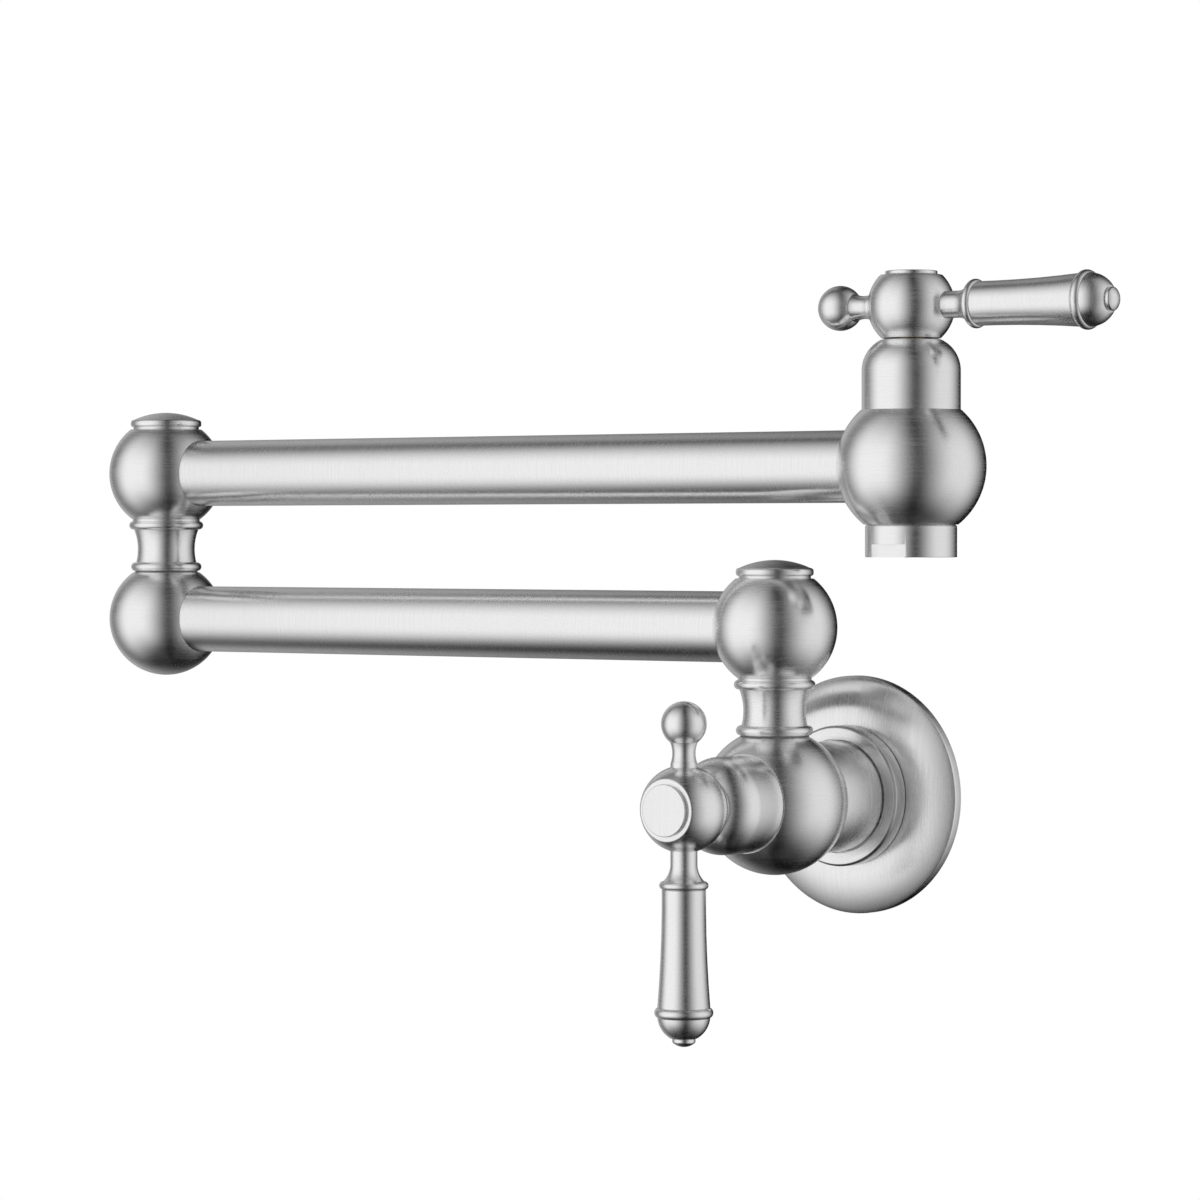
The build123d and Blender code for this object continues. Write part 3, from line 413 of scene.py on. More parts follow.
# ---- outlines and turned pieces
ARC_STEP = math.radians(3.5)
SHARP = math.radians(21)
CREASE = math.radians(33)
BEVEL_ROWS = 5
AXIS_RADIUS = 0.002 * MM
FAR_OFF = 100.0


class Outline:
    """A turned piece's outline, as (radius, height) points in order round its section."""

    def __init__(self, *start):
        self.points = [Vector(start)]

    def to(self, *corners):
        """Straight lines through corners."""
        self.points += [Vector(corner) for corner in corners]
        return self

    def arc(self, through, end):
        """A round stretch from the last point through another to its end."""
        start, through, end = self.points[-1], Vector(through), Vector(end)
        first, second = through - start, end - start
        cross = 2 * (first.x * second.y - first.y * second.x)
        ux = (second.y * first.length_squared - first.y * second.length_squared) / cross
        uy = (first.x * second.length_squared - second.x * first.length_squared) / cross
        centre = start + Vector((ux, uy))
        begin = math.atan2(start.y - centre.y, start.x - centre.x)
        finish_angle = math.atan2(end.y - centre.y, end.x - centre.x)
        sweep = (finish_angle - begin) % math.tau if cross > 0 else -((begin - finish_angle) % math.tau)
        radius = (start - centre).length
        steps = max(4, math.ceil(abs(sweep) / ARC_STEP))
        for step in range(1, steps):
            angle = begin + sweep * step / steps
            self.points.append(centre + radius * Vector((math.cos(angle), math.sin(angle))))
        self.points.append(end)
        return self

    def bend(self, heading, end):
        """A round stretch that leaves the last point in a heading and ends at a point."""
        start, end, heading = self.points[-1], Vector(end), Vector(heading).normalized()
        chord = end - start
        side = Vector((-heading.y, heading.x))
        radius = chord.length_squared / (2 * chord.dot(side))
        centre = start + side * radius
        half = (start - centre + end - centre).normalized()
        return self.arc(centre + half * abs(radius), end)


def ring_outline(inner, outer, low, high):
    """The outline of a plain ring."""
    return Outline(inner, low).to((outer, low), (outer, high), (inner, high))


def disc_outline(radius, low, high):
    """The outline of a plain round bar."""
    return Outline(0, low).to((radius, low), (radius, high), (0, high))


def half_width(ball, height):
    """A ball's radius at a height from its centre."""
    return math.sqrt(ball * ball - height * height)


def turned_mesh(name, outline, sides, edge=0.0):
    """The mesh of an outline turned round z, with its sharp edges rounded."""
    vertices, rows, faces = [], [], []
    for point in outline.points:
        count = 1 if point.x < AXIS_RADIUS else sides
        rows.append([len(vertices) + index for index in range(count)])
        for index in range(count):
            angle = math.tau * index / sides
            vertices.append((point.x * math.cos(angle), point.x * math.sin(angle), point.y))
    for row, following in zip(rows, rows[1:] + rows[:1]):
        if len(row) == 1 and len(following) == 1:
            continue
        for index in range(sides):
            after = (index + 1) % sides
            corners = [row[index % len(row)], row[after % len(row)]]
            corners += [following[after % len(following)], following[index % len(following)]]
            faces.append(tuple(dict.fromkeys(corners)))
    mesh = bpy.data.meshes.new(name)
    mesh.from_pydata(vertices, [], faces)
    shape = bmesh.new()
    shape.from_mesh(mesh)
    bmesh.ops.recalc_face_normals(shape, faces=shape.faces)
    if edge:
        sharp = [e for e in shape.edges if e.is_manifold and e.calc_face_angle() > SHARP]
        rounding = {"offset": edge, "segments": BEVEL_ROWS, "profile": 0.5, "clamp_overlap": True}
        bmesh.ops.bevel(shape, geom=sharp, affect="EDGES", **rounding)
    shape.to_mesh(mesh)
    shape.free()
    return mesh


def add_object(name, data, place=None):
    """Puts a mesh, a lamp or a camera in the scene, at a place if one is given."""
    made = bpy.data.objects.new(name, data)
    bpy.context.scene.collection.objects.link(made)
    if place is not None:
        made.matrix_world = place
    return made


def settle(piece, body, node, slot, straight=False):
    """Gives a piece smooth shading that keeps its creases, its finish and its place in the frame."""
    piece.data.shade_smooth()
    piece.data.set_sharp_from_angle(angle=CREASE)
    piece.data.materials.append(finish(slot, straight))
    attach(piece, body)
    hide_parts(node)


def turned(name, place, outline, body, node, slot="brushed_nickel", edge=None, cutters=(), straight=False):
    """Turns a piece, carves it, gives it its finish and seats it in place of its node."""
    sizes = settings().balls
    mesh = turned_mesh(name, outline, sizes.sides, sizes.edge if edge is None else edge)
    piece = add_object(name, mesh, place)
    carve(piece, cutters)
    if straight:
        brush_straight(piece.data)
    settle(piece, body, node, slot, straight)
    return piece


def brush_straight(mesh):
    """Turns the brush straight along y: far off its texture's centre, a turn about z is a straight line."""
    mesh.use_auto_texspace = False
    mesh.texspace_location = -FAR_OFF * X
    mesh.texspace_size = (1.0, 1.0, 1.0)


def rebrush(piece, place):
    """Brushes a piece round another seat's axis, with its shape where it was."""
    bpy.context.view_layer.update()
    piece.data.transform(place.inverted() @ piece.matrix_world)
    piece.matrix_world = place


def cutter(place, mesh):
    """An object that carves another and is then removed."""
    return add_object("cutter", mesh, place)


def drills(place, *sizes):
    """Round cutters along a seat's axis, each as its radius, its ends and, where given, its sides."""
    made = []
    for radius, low, high, *sides in sizes:
        mesh = turned_mesh("drill", disc_outline(radius, low, high), *(sides or [CUTTER_SIDES]))
        made.append(cutter(place, mesh))
    return made


def socket_cutters(side, ball, start=0):
    """What bores a ball sideways for its tube, and for the water behind it from a start."""
    tube = settings().balls.tube
    floor = half_width(ball, tube) - SOCKET_DEPTH
    socket, waterway = (tube + RUNNING_FIT, floor, ball + OVERCUT), (ARM_WATERWAY, start, floor + OVERCUT)
    return drills(side, socket, waterway)


def carve(piece, cutters):
    """Cuts each cutter out of a piece for good."""
    if not cutters:
        return
    for tool in cutters:
        cut = piece.modifiers.new("cut", "BOOLEAN")
        cut.operation = "DIFFERENCE"
        cut.solver = "EXACT"
        cut.object = tool
    bpy.context.view_layer.update()
    drawn = piece.evaluated_get(bpy.context.evaluated_depsgraph_get())
    carved = bpy.data.meshes.new_from_object(drawn)
    carved.name = piece.name
    piece.modifiers.clear()
    piece.data = carved
    for tool in cutters:
        bpy.data.objects.remove(tool)
    if not carved.polygons:
        raise RuntimeError(f"carving {piece.name} left nothing")


# ---- wall side
class POTFILLER_OT_wall_flange(bpy.types.Operator):
    """Makes the domed flange and the collar in front of it."""

    bl_idname = "potfiller.wall_flange"
    bl_label = "Wall flange and collar"

    def execute(self, context):
        sizes = settings().wall
        back, front = span("wall_flange", WALL)
        _, groove_top = span("wall_gasket", WALL)
        skin, lip_back = 2.0 * MM, 2.6 * MM
        bore, recess = sizes.neck + 0.1 * MM, sizes.flange - 4.3 * MM
        lip, floor = bore + 3.5 * MM, front - skin
        hollow = (recess - 4.2 * MM, floor - 0.9 * MM)
        groove, groove_inner = sizes.flange - 1.1 * MM, sizes.flange - 3.2 * MM
        flange = Outline(bore, front).to((sizes.collar, front))
        flange.bend((1, 0), (sizes.flange, sizes.rim)).to((sizes.flange, back), (groove, back))
        flange.to((groove, groove_top), (groove_inner, groove_top), (groove_inner, back), (recess, back))
        flange.to((recess, sizes.rim - skin / 2)).arc(hollow, (lip, floor))
        flange.to((lip, lip_back), (bore, lip_back))
        turned("wall_flange_plate", WALL, flange, "wall_valve", "wall_flange", edge=0.35 * MM, straight=True)

        low, high = span("flange_collar", WALL)
        inside, bevel = sizes.neck + RUNNING_FIT, 0.7 * MM
        groove_low, groove_high, groove = low + 2.0 * MM, low + 4.0 * MM, inside + 1.45 * MM
        shadow_floor, shadow_top = sizes.collar - 1.5 * MM, low + 0.4 * MM
        mouth, mouth_floor = sizes.neck + 0.42 * MM, high - 1.4 * MM
        collar = Outline(inside, low).to((shadow_floor, low), (shadow_floor, shadow_top))
        collar.to((sizes.collar, shadow_top), (sizes.collar, high - bevel), (sizes.collar - bevel, high))
        collar.to((mouth, high), (mouth, mouth_floor), (inside, mouth_floor))
        collar.to((inside, groove_high), (groove, groove_high), (groove, groove_low), (inside, groove_low))
        turned("flange_collar_ring", WALL, collar, "wall_valve", "flange_collar", edge=0.1 * MM)
        return {"FINISHED"}


class POTFILLER_OT_wall_body(bpy.types.Operator):
    """Makes the wall's ball-shaped valve body and its neck, and bores them."""

    bl_idname = "potfiller.wall_body"
    bl_label = "Wall body"

    def execute(self, context):
        neck, ball = settings().wall.neck, settings().balls.body_ball
        back, front = span("wall_body", WALL_VALVE)
        inside, port_end = neck - 2.4 * MM, -7.5 * MM
        foot, neck_top = -half_width(ball, inside), -half_width(ball, neck) + 2.0 * MM
        body = Outline(0, foot).to((inside, foot))
        body.arc((ball, 0), (half_width(ball, front), front)).to((0, front))
        cutters = pocket_cutters(WALL_VALVE, front) + spindle_cutters(WALL_POST, "wall", ball)
        cutters += drills(WALL_VALVE, (SEAT_PORT, foot - OVERCUT, port_end))
        args = ("wall_valve", "wall_body")
        piece = turned("wall_valve_ball", WALL_VALVE, body, *args, edge=0.06 * MM, cutters=cutters)
        rebrush(piece, WALL_POST)

        thread, thread_end, port_start = 10.528 * MM, back + 16.7 * MM, back + 16.0 * MM
        cutters = drills(WALL_VALVE, (thread, back - OVERCUT, thread_end))
        cutters += drills(WALL_VALVE, (SEAT_PORT, port_start, neck_top + OVERCUT))
        turned("wall_valve_neck", WALL_VALVE, disc_outline(neck, back, neck_top), *args, cutters=cutters)
        return {"FINISHED"}


def pocket_cutters(place, front):
    """What bores a valve body from its front for its cartridge and its bonnet."""
    bonnet = settings().handles.bonnet + RUNNING_FIT
    chamber, floor, thread_start, seat_height = mm(9.8, -8.0, 5.0, 14.0)
    top = front + OVERCUT
    pocket = Outline(0, floor).to((chamber, floor), (chamber, thread_start), (THREAD_HOLE, thread_start))
    pocket.to((THREAD_HOLE, seat_height), (bonnet, seat_height), (bonnet, top), (0, top))
    return [cutter(place, turned_mesh("pocket", pocket, CUTTER_SIDES))]


def spindle_cutters(place, swivel, ball):
    """What flattens a ball's top and bores it for a swivel's spindle."""
    shank_end, _ = span(f"{swivel}_spindle", place)
    top, _ = span(f"{swivel}_thrust_washer", place)
    flange, shank, port, flange_height = mm(9.05, 7.05, 5.5, 2.0)
    seat_radius, foot, above = half_width(ball, top) + 0.3 * MM, top - flange_height, ball + OVERCUT
    hole = Outline(0, shank_end).to((shank, shank_end), (shank, foot), (flange, foot), (flange, top))
    hole.to((seat_radius, top), (seat_radius, above), (0, above))
    seat_cutter = cutter(place, turned_mesh("spindle_seat", hole, CUTTER_SIDES))
    return [seat_cutter, *drills(place, (port, 0, shank_end + OVERCUT))]


class POTFILLER_OT_inlet(bpy.types.Operator):
    """Makes the inlet nipple with its thread."""

    bl_idname = "potfiller.inlet"
    bl_label = "Inlet nipple"

    pitch = 1.814 * MM
    depth = 1.162 * MM
    flank_slope, crest_flat = 1.35, 0.18

    def execute(self, context):
        low, high = span("inlet_nipple", WALL)
        crest, relief, relief_start, relief_end, bore, chamfer = mm(10.478, 9.08, 1.0, 3.0, 7.0, 1.0)
        sides, rows = CUTTER_SIDES, math.ceil((high - low) / (0.15 * MM))
        vertices, faces = [], []

        def radius_at(height, angle):
            """The nipple's outside, threaded apart from its relief and its chamfers."""
            if relief_start < height < relief_end:
                return relief
            flank = abs(2 * ((height / self.pitch - angle / math.tau) % 1.0) - 1)
            cut = min(1.0, max(0.0, self.flank_slope * flank - self.crest_flat))
            return min(crest - self.depth * cut, crest - chamfer + min(height - low, high - height))

        for row in range(rows + 1):
            height = low + (high - low) * row / rows
            for index in range(sides):
                angle = math.tau * index / sides
                radius = radius_at(height, angle)
                vertices.append((radius * math.cos(angle), radius * math.sin(angle), height))
        for row in range(rows):
            for index in range(sides):
                here, after = row * sides + index, row * sides + (index + 1) % sides
                faces.append((here, after, after + sides, here + sides))
        last = rows * sides
        faces += [tuple(reversed(range(sides))), tuple(range(last, last + sides))]
        mesh = bpy.data.meshes.new("inlet_nipple_threaded")
        mesh.from_pydata(vertices, [], faces)
        piece = add_object("inlet_nipple_threaded", mesh, WALL)
        key, key_depth = 7.3 * MM / math.cos(math.pi / 6), 8.0 * MM
        hexagon = turned_mesh("key", disc_outline(key, low - OVERCUT, low + key_depth), 6)
        carve(piece, [*drills(WALL, (bore, low - OVERCUT, high + OVERCUT)), cutter(WALL, hexagon)])
        settle(piece, "wall_valve", "inlet_nipple", "brass")
        return {"FINISHED"}


# ---- arms
class POTFILLER_OT_arm_hubs(bpy.types.Operator):
    """Makes the two arm balls with their moulded necks."""

    bl_idname = "potfiller.arm_hubs"
    bl_label = "Arm balls and necks"

    def execute(self, context):
        ball = settings().balls.arm_ball
        for place, name, cap, body in (
            (LOWER_HUB, "lower_arm_hub", "wall_swivel_cap", "lower_arm"),
            (UPPER_HUB, "upper_arm_hub", "elbow_swivel_cap", "upper_arm"),
        ):
            self.add_hub(place, name, body, ball)
            self.add_cap(place, cap, body, ball)
        return {"FINISHED"}

    def add_hub(self, place, name, body, ball):
        """The ball and its neck, from the foot up: a bead, a waist, another bead and a step."""
        foot, top = span(name, place)
        root, bead, bottom, waist = mm(10.5, 11.9, 10.2, 9.65)
        neck, shoulder, upper_bead, step = mm(10.9, 11.2, 12.52, 11.36)
        chamber, bore, ledge = mm(9.5, 8.0, -13.0)
        bead_low, bead_high = foot + 0.1 * MM, foot + 3.1 * MM
        neck_top = -half_width(ball, step)
        step_foot = neck_top - 0.6 * MM
        waist_top = step_foot - 2.8 * MM
        hub = Outline(bore, foot).to((root, foot), (root, bead_low))
        hub.arc((bead, (bead_low + bead_high) / 2), (root, bead_high)).to((bottom, bead_high))
        hub.arc((waist, (bead_high + waist_top) / 2), (neck, waist_top)).to((shoulder, waist_top))
        hub.arc((upper_bead, (waist_top + step_foot) / 2), (step, step_foot)).to((step, neck_top))
        hub.arc((ball, 0), (half_width(ball, top), top)).to((chamber, top), (chamber, ledge), (bore, ledge))
        cutters = socket_cutters(sideways(place), ball)
        turned(f"{name}_turned", place, hub, body, name, edge=0.1 * MM, cutters=cutters)

    def add_cap(self, place, name, body, ball):
        """The domed cap, screwed into the ball's top."""
        rim, corner, under, foot_height, seat_radius = mm(11.95, 1.0, 0.85, 0.8, 12.0)
        plug, bore, foot = 9.45 * MM, 7.5 * MM, half_width(ball, seat_radius)
        rim_low, rim_top, plug_end = foot + foot_height, foot + 3.25 * MM, foot - 5.5 * MM
        _, tip = span(name, place)
        hollow_edge, hollow_top = tip - 3.4 * MM, tip - 2.2 * MM
        cap = Outline(0, tip).bend((1, 0), (rim - corner, rim_top)).bend((1, 0), (rim, rim_top - corner))
        cap.to((rim, rim_low + under)).bend((0, -1), (rim - under, rim_low)).to((rim - under, foot))
        cap.to((plug, foot), (plug, plug_end), (bore, plug_end), (bore, hollow_edge), (0, hollow_top))
        turned(f"{name}_domed", place, cap, body, name, edge=0.08 * MM)


class POTFILLER_OT_arm_tubes(bpy.types.Operator):
    """Makes the two arm tubes."""

    bl_idname = "potfiller.arm_tubes"
    bl_label = "Arm tubes"

    def execute(self, context):
        sizes = settings().balls
        for place, name, body in (
            (sideways(LOWER_HUB), "lower_arm_tube", "lower_arm"),
            (sideways(UPPER_HUB), "upper_arm_tube", "upper_arm"),
        ):
            low, high = span(name, place)
            tube = ring_outline(sizes.tube - sizes.tube_wall, sizes.tube, low, high)
            turned(f"{name}_drawn", place, tube, body, name)
        return {"FINISHED"}


class POTFILLER_OT_end_balls(bpy.types.Operator):
    """Makes the plain elbow ball and the spout's valve ball."""

    bl_idname = "potfiller.end_balls"
    bl_label = "Elbow and spout balls"

    def execute(self, context):
        sizes = settings().balls
        ball, side_start = sizes.arm_ball, -5.5 * MM
        sphere = Outline(0, -ball).arc((ball, 0), (0, ball))
        cutters = spindle_cutters(ELBOW_POST, "elbow", ball)
        cutters += socket_cutters(sideways(ELBOW_POST), ball, side_start)
        turned("elbow_ball", ELBOW_POST, sphere, "lower_arm", "elbow_body", cutters=cutters)

        ball = sizes.body_ball
        low, high = span("spout_body", SPOUT_VALVE)
        body = Outline(0, low).to((half_width(ball, low), low))
        body.arc((ball, 0), (half_width(ball, high), high)).to((0, high))
        port_top, hole_top, port_end = mm(7.0, 11.0, 12.0)
        cutters = pocket_cutters(SPOUT_VALVE, high) + socket_cutters(sideways(SPOUT_VALVE, -1), ball)
        cutters += drills(SPOUT_OUTLET, (THREAD_HOLE, hole_top, OVERCUT - low))
        cutters += drills(SPOUT_OUTLET, (SEAT_PORT, port_top, port_end))
        turned("spout_ball", SPOUT_VALVE, body, "upper_arm", "spout_body", edge=0.06 * MM, cutters=cutters)
        return {"FINISHED"}


# ---- handles
HANDLES = (
    (WALL_VALVE, WALL_HANDLE, "wall", "wall_valve", "wall_handle"),
    (SPOUT_VALVE, SPOUT_HANDLE, "spout", "upper_arm", "spout_handle"),
)


class POTFILLER_OT_bonnets(bpy.types.Operator):
    """Makes the shouldered sleeves over the cartridges."""

    bl_idname = "potfiller.bonnets"
    bl_label = "Bonnets"

    def execute(self, context):
        radius = settings().handles.bonnet
        inside, web_foot, web_top, web, mouth = mm(12.5, 20.5, 31.5, 9.05, 5.4)
        straight_end, rim = 28.6 * MM, 8.9 * MM
        for place, _, side, body, _ in HANDLES:
            low, top = span(f"{side}_bonnet", place)
            bonnet = Outline(radius, low).to((radius, straight_end)).bend((0, 1), (rim, top))
            bonnet.to((mouth, top), (mouth, web_top), (web, web_top), (web, web_foot))
            bonnet.to((inside, web_foot), (inside, low))
            piece = turned(f"{side}_bonnet_sleeve", place, bonnet, body, f"{side}_bonnet", edge=0.3 * MM)
            if side == "wall":
                rebrush(piece, WALL_POST)
        return {"FINISHED"}


class POTFILLER_OT_handle_hubs(bpy.types.Operator):
    """Makes the truncated balls that the levers turn, and the index caps in their faces."""

    bl_idname = "potfiller.handle_hubs"
    bl_label = "Handle hubs and index caps"

    def execute(self, context):
        sizes = settings().handles
        ball, index = sizes.hub, sizes.index
        spline, screw, counterbore, web_foot, web_top = mm(4.05, 2.1, 4.6, -1.7, 1.6)
        screw_reach, neck, rod_start, rod_end, plug, plug_inner = mm(2.0, 4.09, 6.2, 12.0, 4.55, 3.55)
        for _, place, side, _, body in HANDLES:
            foot, face = span(f"{side}_handle_hub", place)
            hub = Outline(0, foot).to((half_width(ball, foot), foot))
            hub.arc((ball, 0), (half_width(ball, face), face)).to((0, face))
            cutters = drills(place, (spline, foot - OVERCUT, web_foot), (screw, -screw_reach, screw_reach))
            cutters += drills(place, (counterbore, web_top, face + OVERCUT))
            side_holes = (neck, LEVER_SEAT, ball + OVERCUT), (ROD_HOLE, rod_start, rod_end)
            for direction in (1, -1):
                cutters += drills(sideways(place, direction), *side_holes)
            name = f"{side}_handle_hub"
            piece = turned(f"{name}_turned", place, hub, body, name, edge=0.25 * MM, cutters=cutters)
            if side == "wall":
                rebrush(piece, seat(place.translation, Z, X))

            name = f"{side}_index_cap"
            low, top = span(name, place)
            cap = Outline(0, face).to((plug_inner, face), (plug_inner, low), (plug, low), (plug, face))
            cap.to((index, face), (index, top), (0, top))
            upright = seat(place.translation, place.to_3x3() @ Z, X)
            turned(f"{side}_index_disc", upright, cap, body, name, edge=0.3 * MM, straight=True)
        return {"FINISHED"}


class POTFILLER_OT_levers(bpy.types.Operator):
    """Makes the levers: stem, grip, end piece and button."""

    bl_idname = "potfiller.levers"
    bl_label = "Levers"

    def execute(self, context):
        for _, hub, side, _, body in HANDLES:
            for add in (self.add_stem, self.add_grip, self.add_end, self.add_button):
                add(sideways(hub), f"{side}_lever", body)
        return {"FINISHED"}

    def add_stem(self, place, name, body):
        """The threaded stem with its flare and bead, and the rod through the grip."""
        low, high = span(f"{name}_stem", place)
        grip_low, _ = span(f"{name}_grip", place)
        neck, neck_end, flare, bead, hole_end = mm(4.04, 16.5, 6.2, 7.38, 55.0)
        flare_end = grip_low - 2.4 * MM
        stem = Outline(0, low).to((LEVER_ROD, low), (LEVER_ROD, LEVER_SEAT))
        stem.to((neck, LEVER_SEAT), (neck, neck_end))
        stem.bend((0, 1), (flare, flare_end)).arc((bead, (flare_end + grip_low) / 2), (flare, grip_low))
        stem.to((LEVER_ROD, grip_low), (LEVER_ROD, high), (BUTTON_HOLE, high))
        stem.to((BUTTON_HOLE, hole_end), (0, hole_end))
        turned(f"{name}_neck", place, stem, body, f"{name}_stem", edge=0.12 * MM)

    def add_grip(self, place, name, body):
        """The flared grip sleeve."""
        sizes = settings().handles
        low, high = span(f"{name}_grip", place)
        straight_end, swell, swell_height = mm(30.0, 6.98, 44.2)
        grip = Outline(sizes.grip, low).to((sizes.grip, straight_end))
        grip.arc((swell, swell_height), (sizes.grip_end, high)).to((ROD_HOLE, high), (ROD_HOLE, low))
        turned(f"{name}_sleeve", place, grip, body, f"{name}_grip", edge=0.25 * MM)

    def add_end(self, place, name, body):
        """The bead and the dome at the grip's end."""
        low, high = span(f"{name}_end", place)
        dome, centre, bead, bead_end, rod_end = mm(7.95, 61.65, 8.83, 62.3, 66.0)
        heights = (bead_end, (bead_end + high) / 2, high)
        first, second, third = ((half_width(dome, height - centre), height) for height in heights)
        end = Outline(settings().handles.grip_end, low)
        end.arc((bead, (low + bead_end) / 2), first).arc(second, third)
        end.to((BUTTON_HOLE, high), (BUTTON_HOLE, rod_end), (ROD_HOLE, rod_end), (ROD_HOLE, low))
        turned(f"{name}_dome", place, end, body, f"{name}_end", edge=0.15 * MM)

    def add_button(self, place, name, body):
        """The small domed screw at the tip."""
        low, tip = span(f"{name}_button", place)
        _, foot = span(f"{name}_end", place)
        head, screw, shoulder = 3.5 * MM, 1.5 * MM, foot + 1.2 * MM
        button = Outline(0, tip).bend((1, 0), (head, shoulder))
        button.to((head, foot), (screw, foot), (screw, low), (0, low))
        turned(f"{name}_tip", place, button, body, f"{name}_button", edge=0.3 * MM)


class POTFILLER_OT_finials(bpy.types.Operator):
    """Makes the ball finials opposite the levers."""

    bl_idname = "potfiller.finials"
    bl_label = "Finials"

    def execute(self, context):
        ball = settings().handles.finial
        for _, hub, side, _, body in HANDLES:
            place = sideways(hub, -1)
            low, high = span(f"{side}_finial", place)
            centre = high - ball
            foot = centre - 5.4 * MM
            flange, flange_top, waist, waist_height = mm(4.03, 13.7, 3.48, 17.0)
            finial = Outline(0, low).to((LEVER_ROD, low), (LEVER_ROD, LEVER_SEAT), (flange, LEVER_SEAT))
            finial.to((flange, flange_top))
            finial.arc((waist, waist_height), (half_width(ball, foot - centre), foot))
            finial.arc((ball, centre), (0, high))
            turned(f"{side}_finial_ball", place, finial, body, f"{side}_finial", edge=0.15 * MM)
        return {"FINISHED"}


# ---- spout
class POTFILLER_OT_nozzle(bpy.types.Operator):
    """Makes the nozzle with its two wrench flats, and the aerator in its mouth."""

    bl_idname = "potfiller.nozzle"
    bl_label = "Nozzle and aerator"

    def execute(self, context):
        low, high = span("spout_nozzle", SPOUT_OUTLET)
        spigot, outside, bore, mouth, seat_height = mm(10.4, 13.8, 8.4, 11.3, 17.6)
        chamfer, shelf, flat, flat_height = mm(0.5, 19.2, 12.5, 3.9)
        shoulder = seat_height + chamfer
        nozzle = Outline(bore, low).to((spigot, low), (spigot, seat_height), (outside - chamfer, seat_height))
        nozzle.to((outside, shoulder), (outside, high), (mouth, high), (mouth, shelf), (bore, shelf))
        cut_height = flat_height + OVERCUT
        size = Vector((4 * outside, outside, cut_height))
        flats = []
        for direction in (1, -1):
            centre = Vector((0, direction * (flat + outside / 2), high + OVERCUT - cut_height / 2))
            shape, block = bmesh.new(), bpy.data.meshes.new("flat")
            bmesh.ops.create_cube(shape, size=1.0, matrix=Matrix.LocRotScale(centre, None, size))
            shape.to_mesh(block)
            shape.free()
            flats.append(cutter(SPOUT_OUTLET, block))
        args = (SPOUT_OUTLET, nozzle, "upper_arm", "spout_nozzle")
        turned("spout_nozzle_ring", *args, edge=0.2 * MM, cutters=flats)

        low, high = span("aerator_insert", SPOUT_OUTLET)
        outside, wall, face, hole, pitch = mm(11.2, 1.4, 1.6, 0.85, 3.7)
        insert = Outline(outside, low).to((outside, high), (0, high), (0, high - face))
        insert.to((outside - wall, high - face), (outside - wall, low))
        drilled = (hole, high - 2 * face, high + face, HOLE_SIDES)
        holes = drills(SPOUT_OUTLET, drilled)
        for ring in (1, 2):
            for index in range(6 * ring):
                angle = math.tau * index / (6 * ring)
                shift = Vector((math.cos(angle), math.sin(angle), 0)) * ring * pitch
                holes += drills(SPOUT_OUTLET @ Matrix.Translation(shift), drilled)
        args = (SPOUT_OUTLET, insert, "upper_arm", "aerator_insert", "plastic")
        turned("aerator_face", *args, edge=0.15 * MM, cutters=holes)
        return {"FINISHED"}


class POTFILLER_OT_washers(bpy.types.Operator):
    """Makes the dark washers that show as a line where each neck turns."""

    bl_idname = "potfiller.washers"
    bl_label = "Thrust washers"

    def execute(self, context):
        inner, outer, short = 8.0 * MM, 10.6 * MM, 0.02 * MM
        for place, swivel, body in ((WALL_POST, "wall", "wall_valve"), (ELBOW_POST, "elbow", "lower_arm")):
            node = f"{swivel}_thrust_washer"
            low, high = span(node, place)
            ring = ring_outline(inner, outer, low, high - short)
            turned(f"{swivel}_turning_washer", place, ring, body, node, slot="plastic", edge=0)
        return {"FINISHED"}


class POTFILLER_OT_inner_parts(bpy.types.Operator):
    """Gives every part that stays as the frame has it the finish of its slot."""

    bl_idname = "potfiller.inner_parts"
    bl_label = "Inner parts"

    def execute(self, context):
        slots = {row["node"]: row["material_slot"] for row in frame["record"]["subparts"]}
        for name, node in frame["nodes"].items():
            if node.hide_render:
                continue
            node.data.materials.clear()
            node.data.materials.append(finish(slots[name]))
        return {"FINISHED"}


# ---- studio
WHITE = (1, 1, 1)
CAMERA_PLACE = Vector((772.07, -1179.38, 82.33)) * MM
TOWARDS_CAMERA, BACK_MIDDLE = math.radians(37.6), math.radians(-159.5)
LOWER_EDGE, UPPER_EDGE = (-68, -18), (16.6, 90.5)  # where the boxes fade, in degrees above level


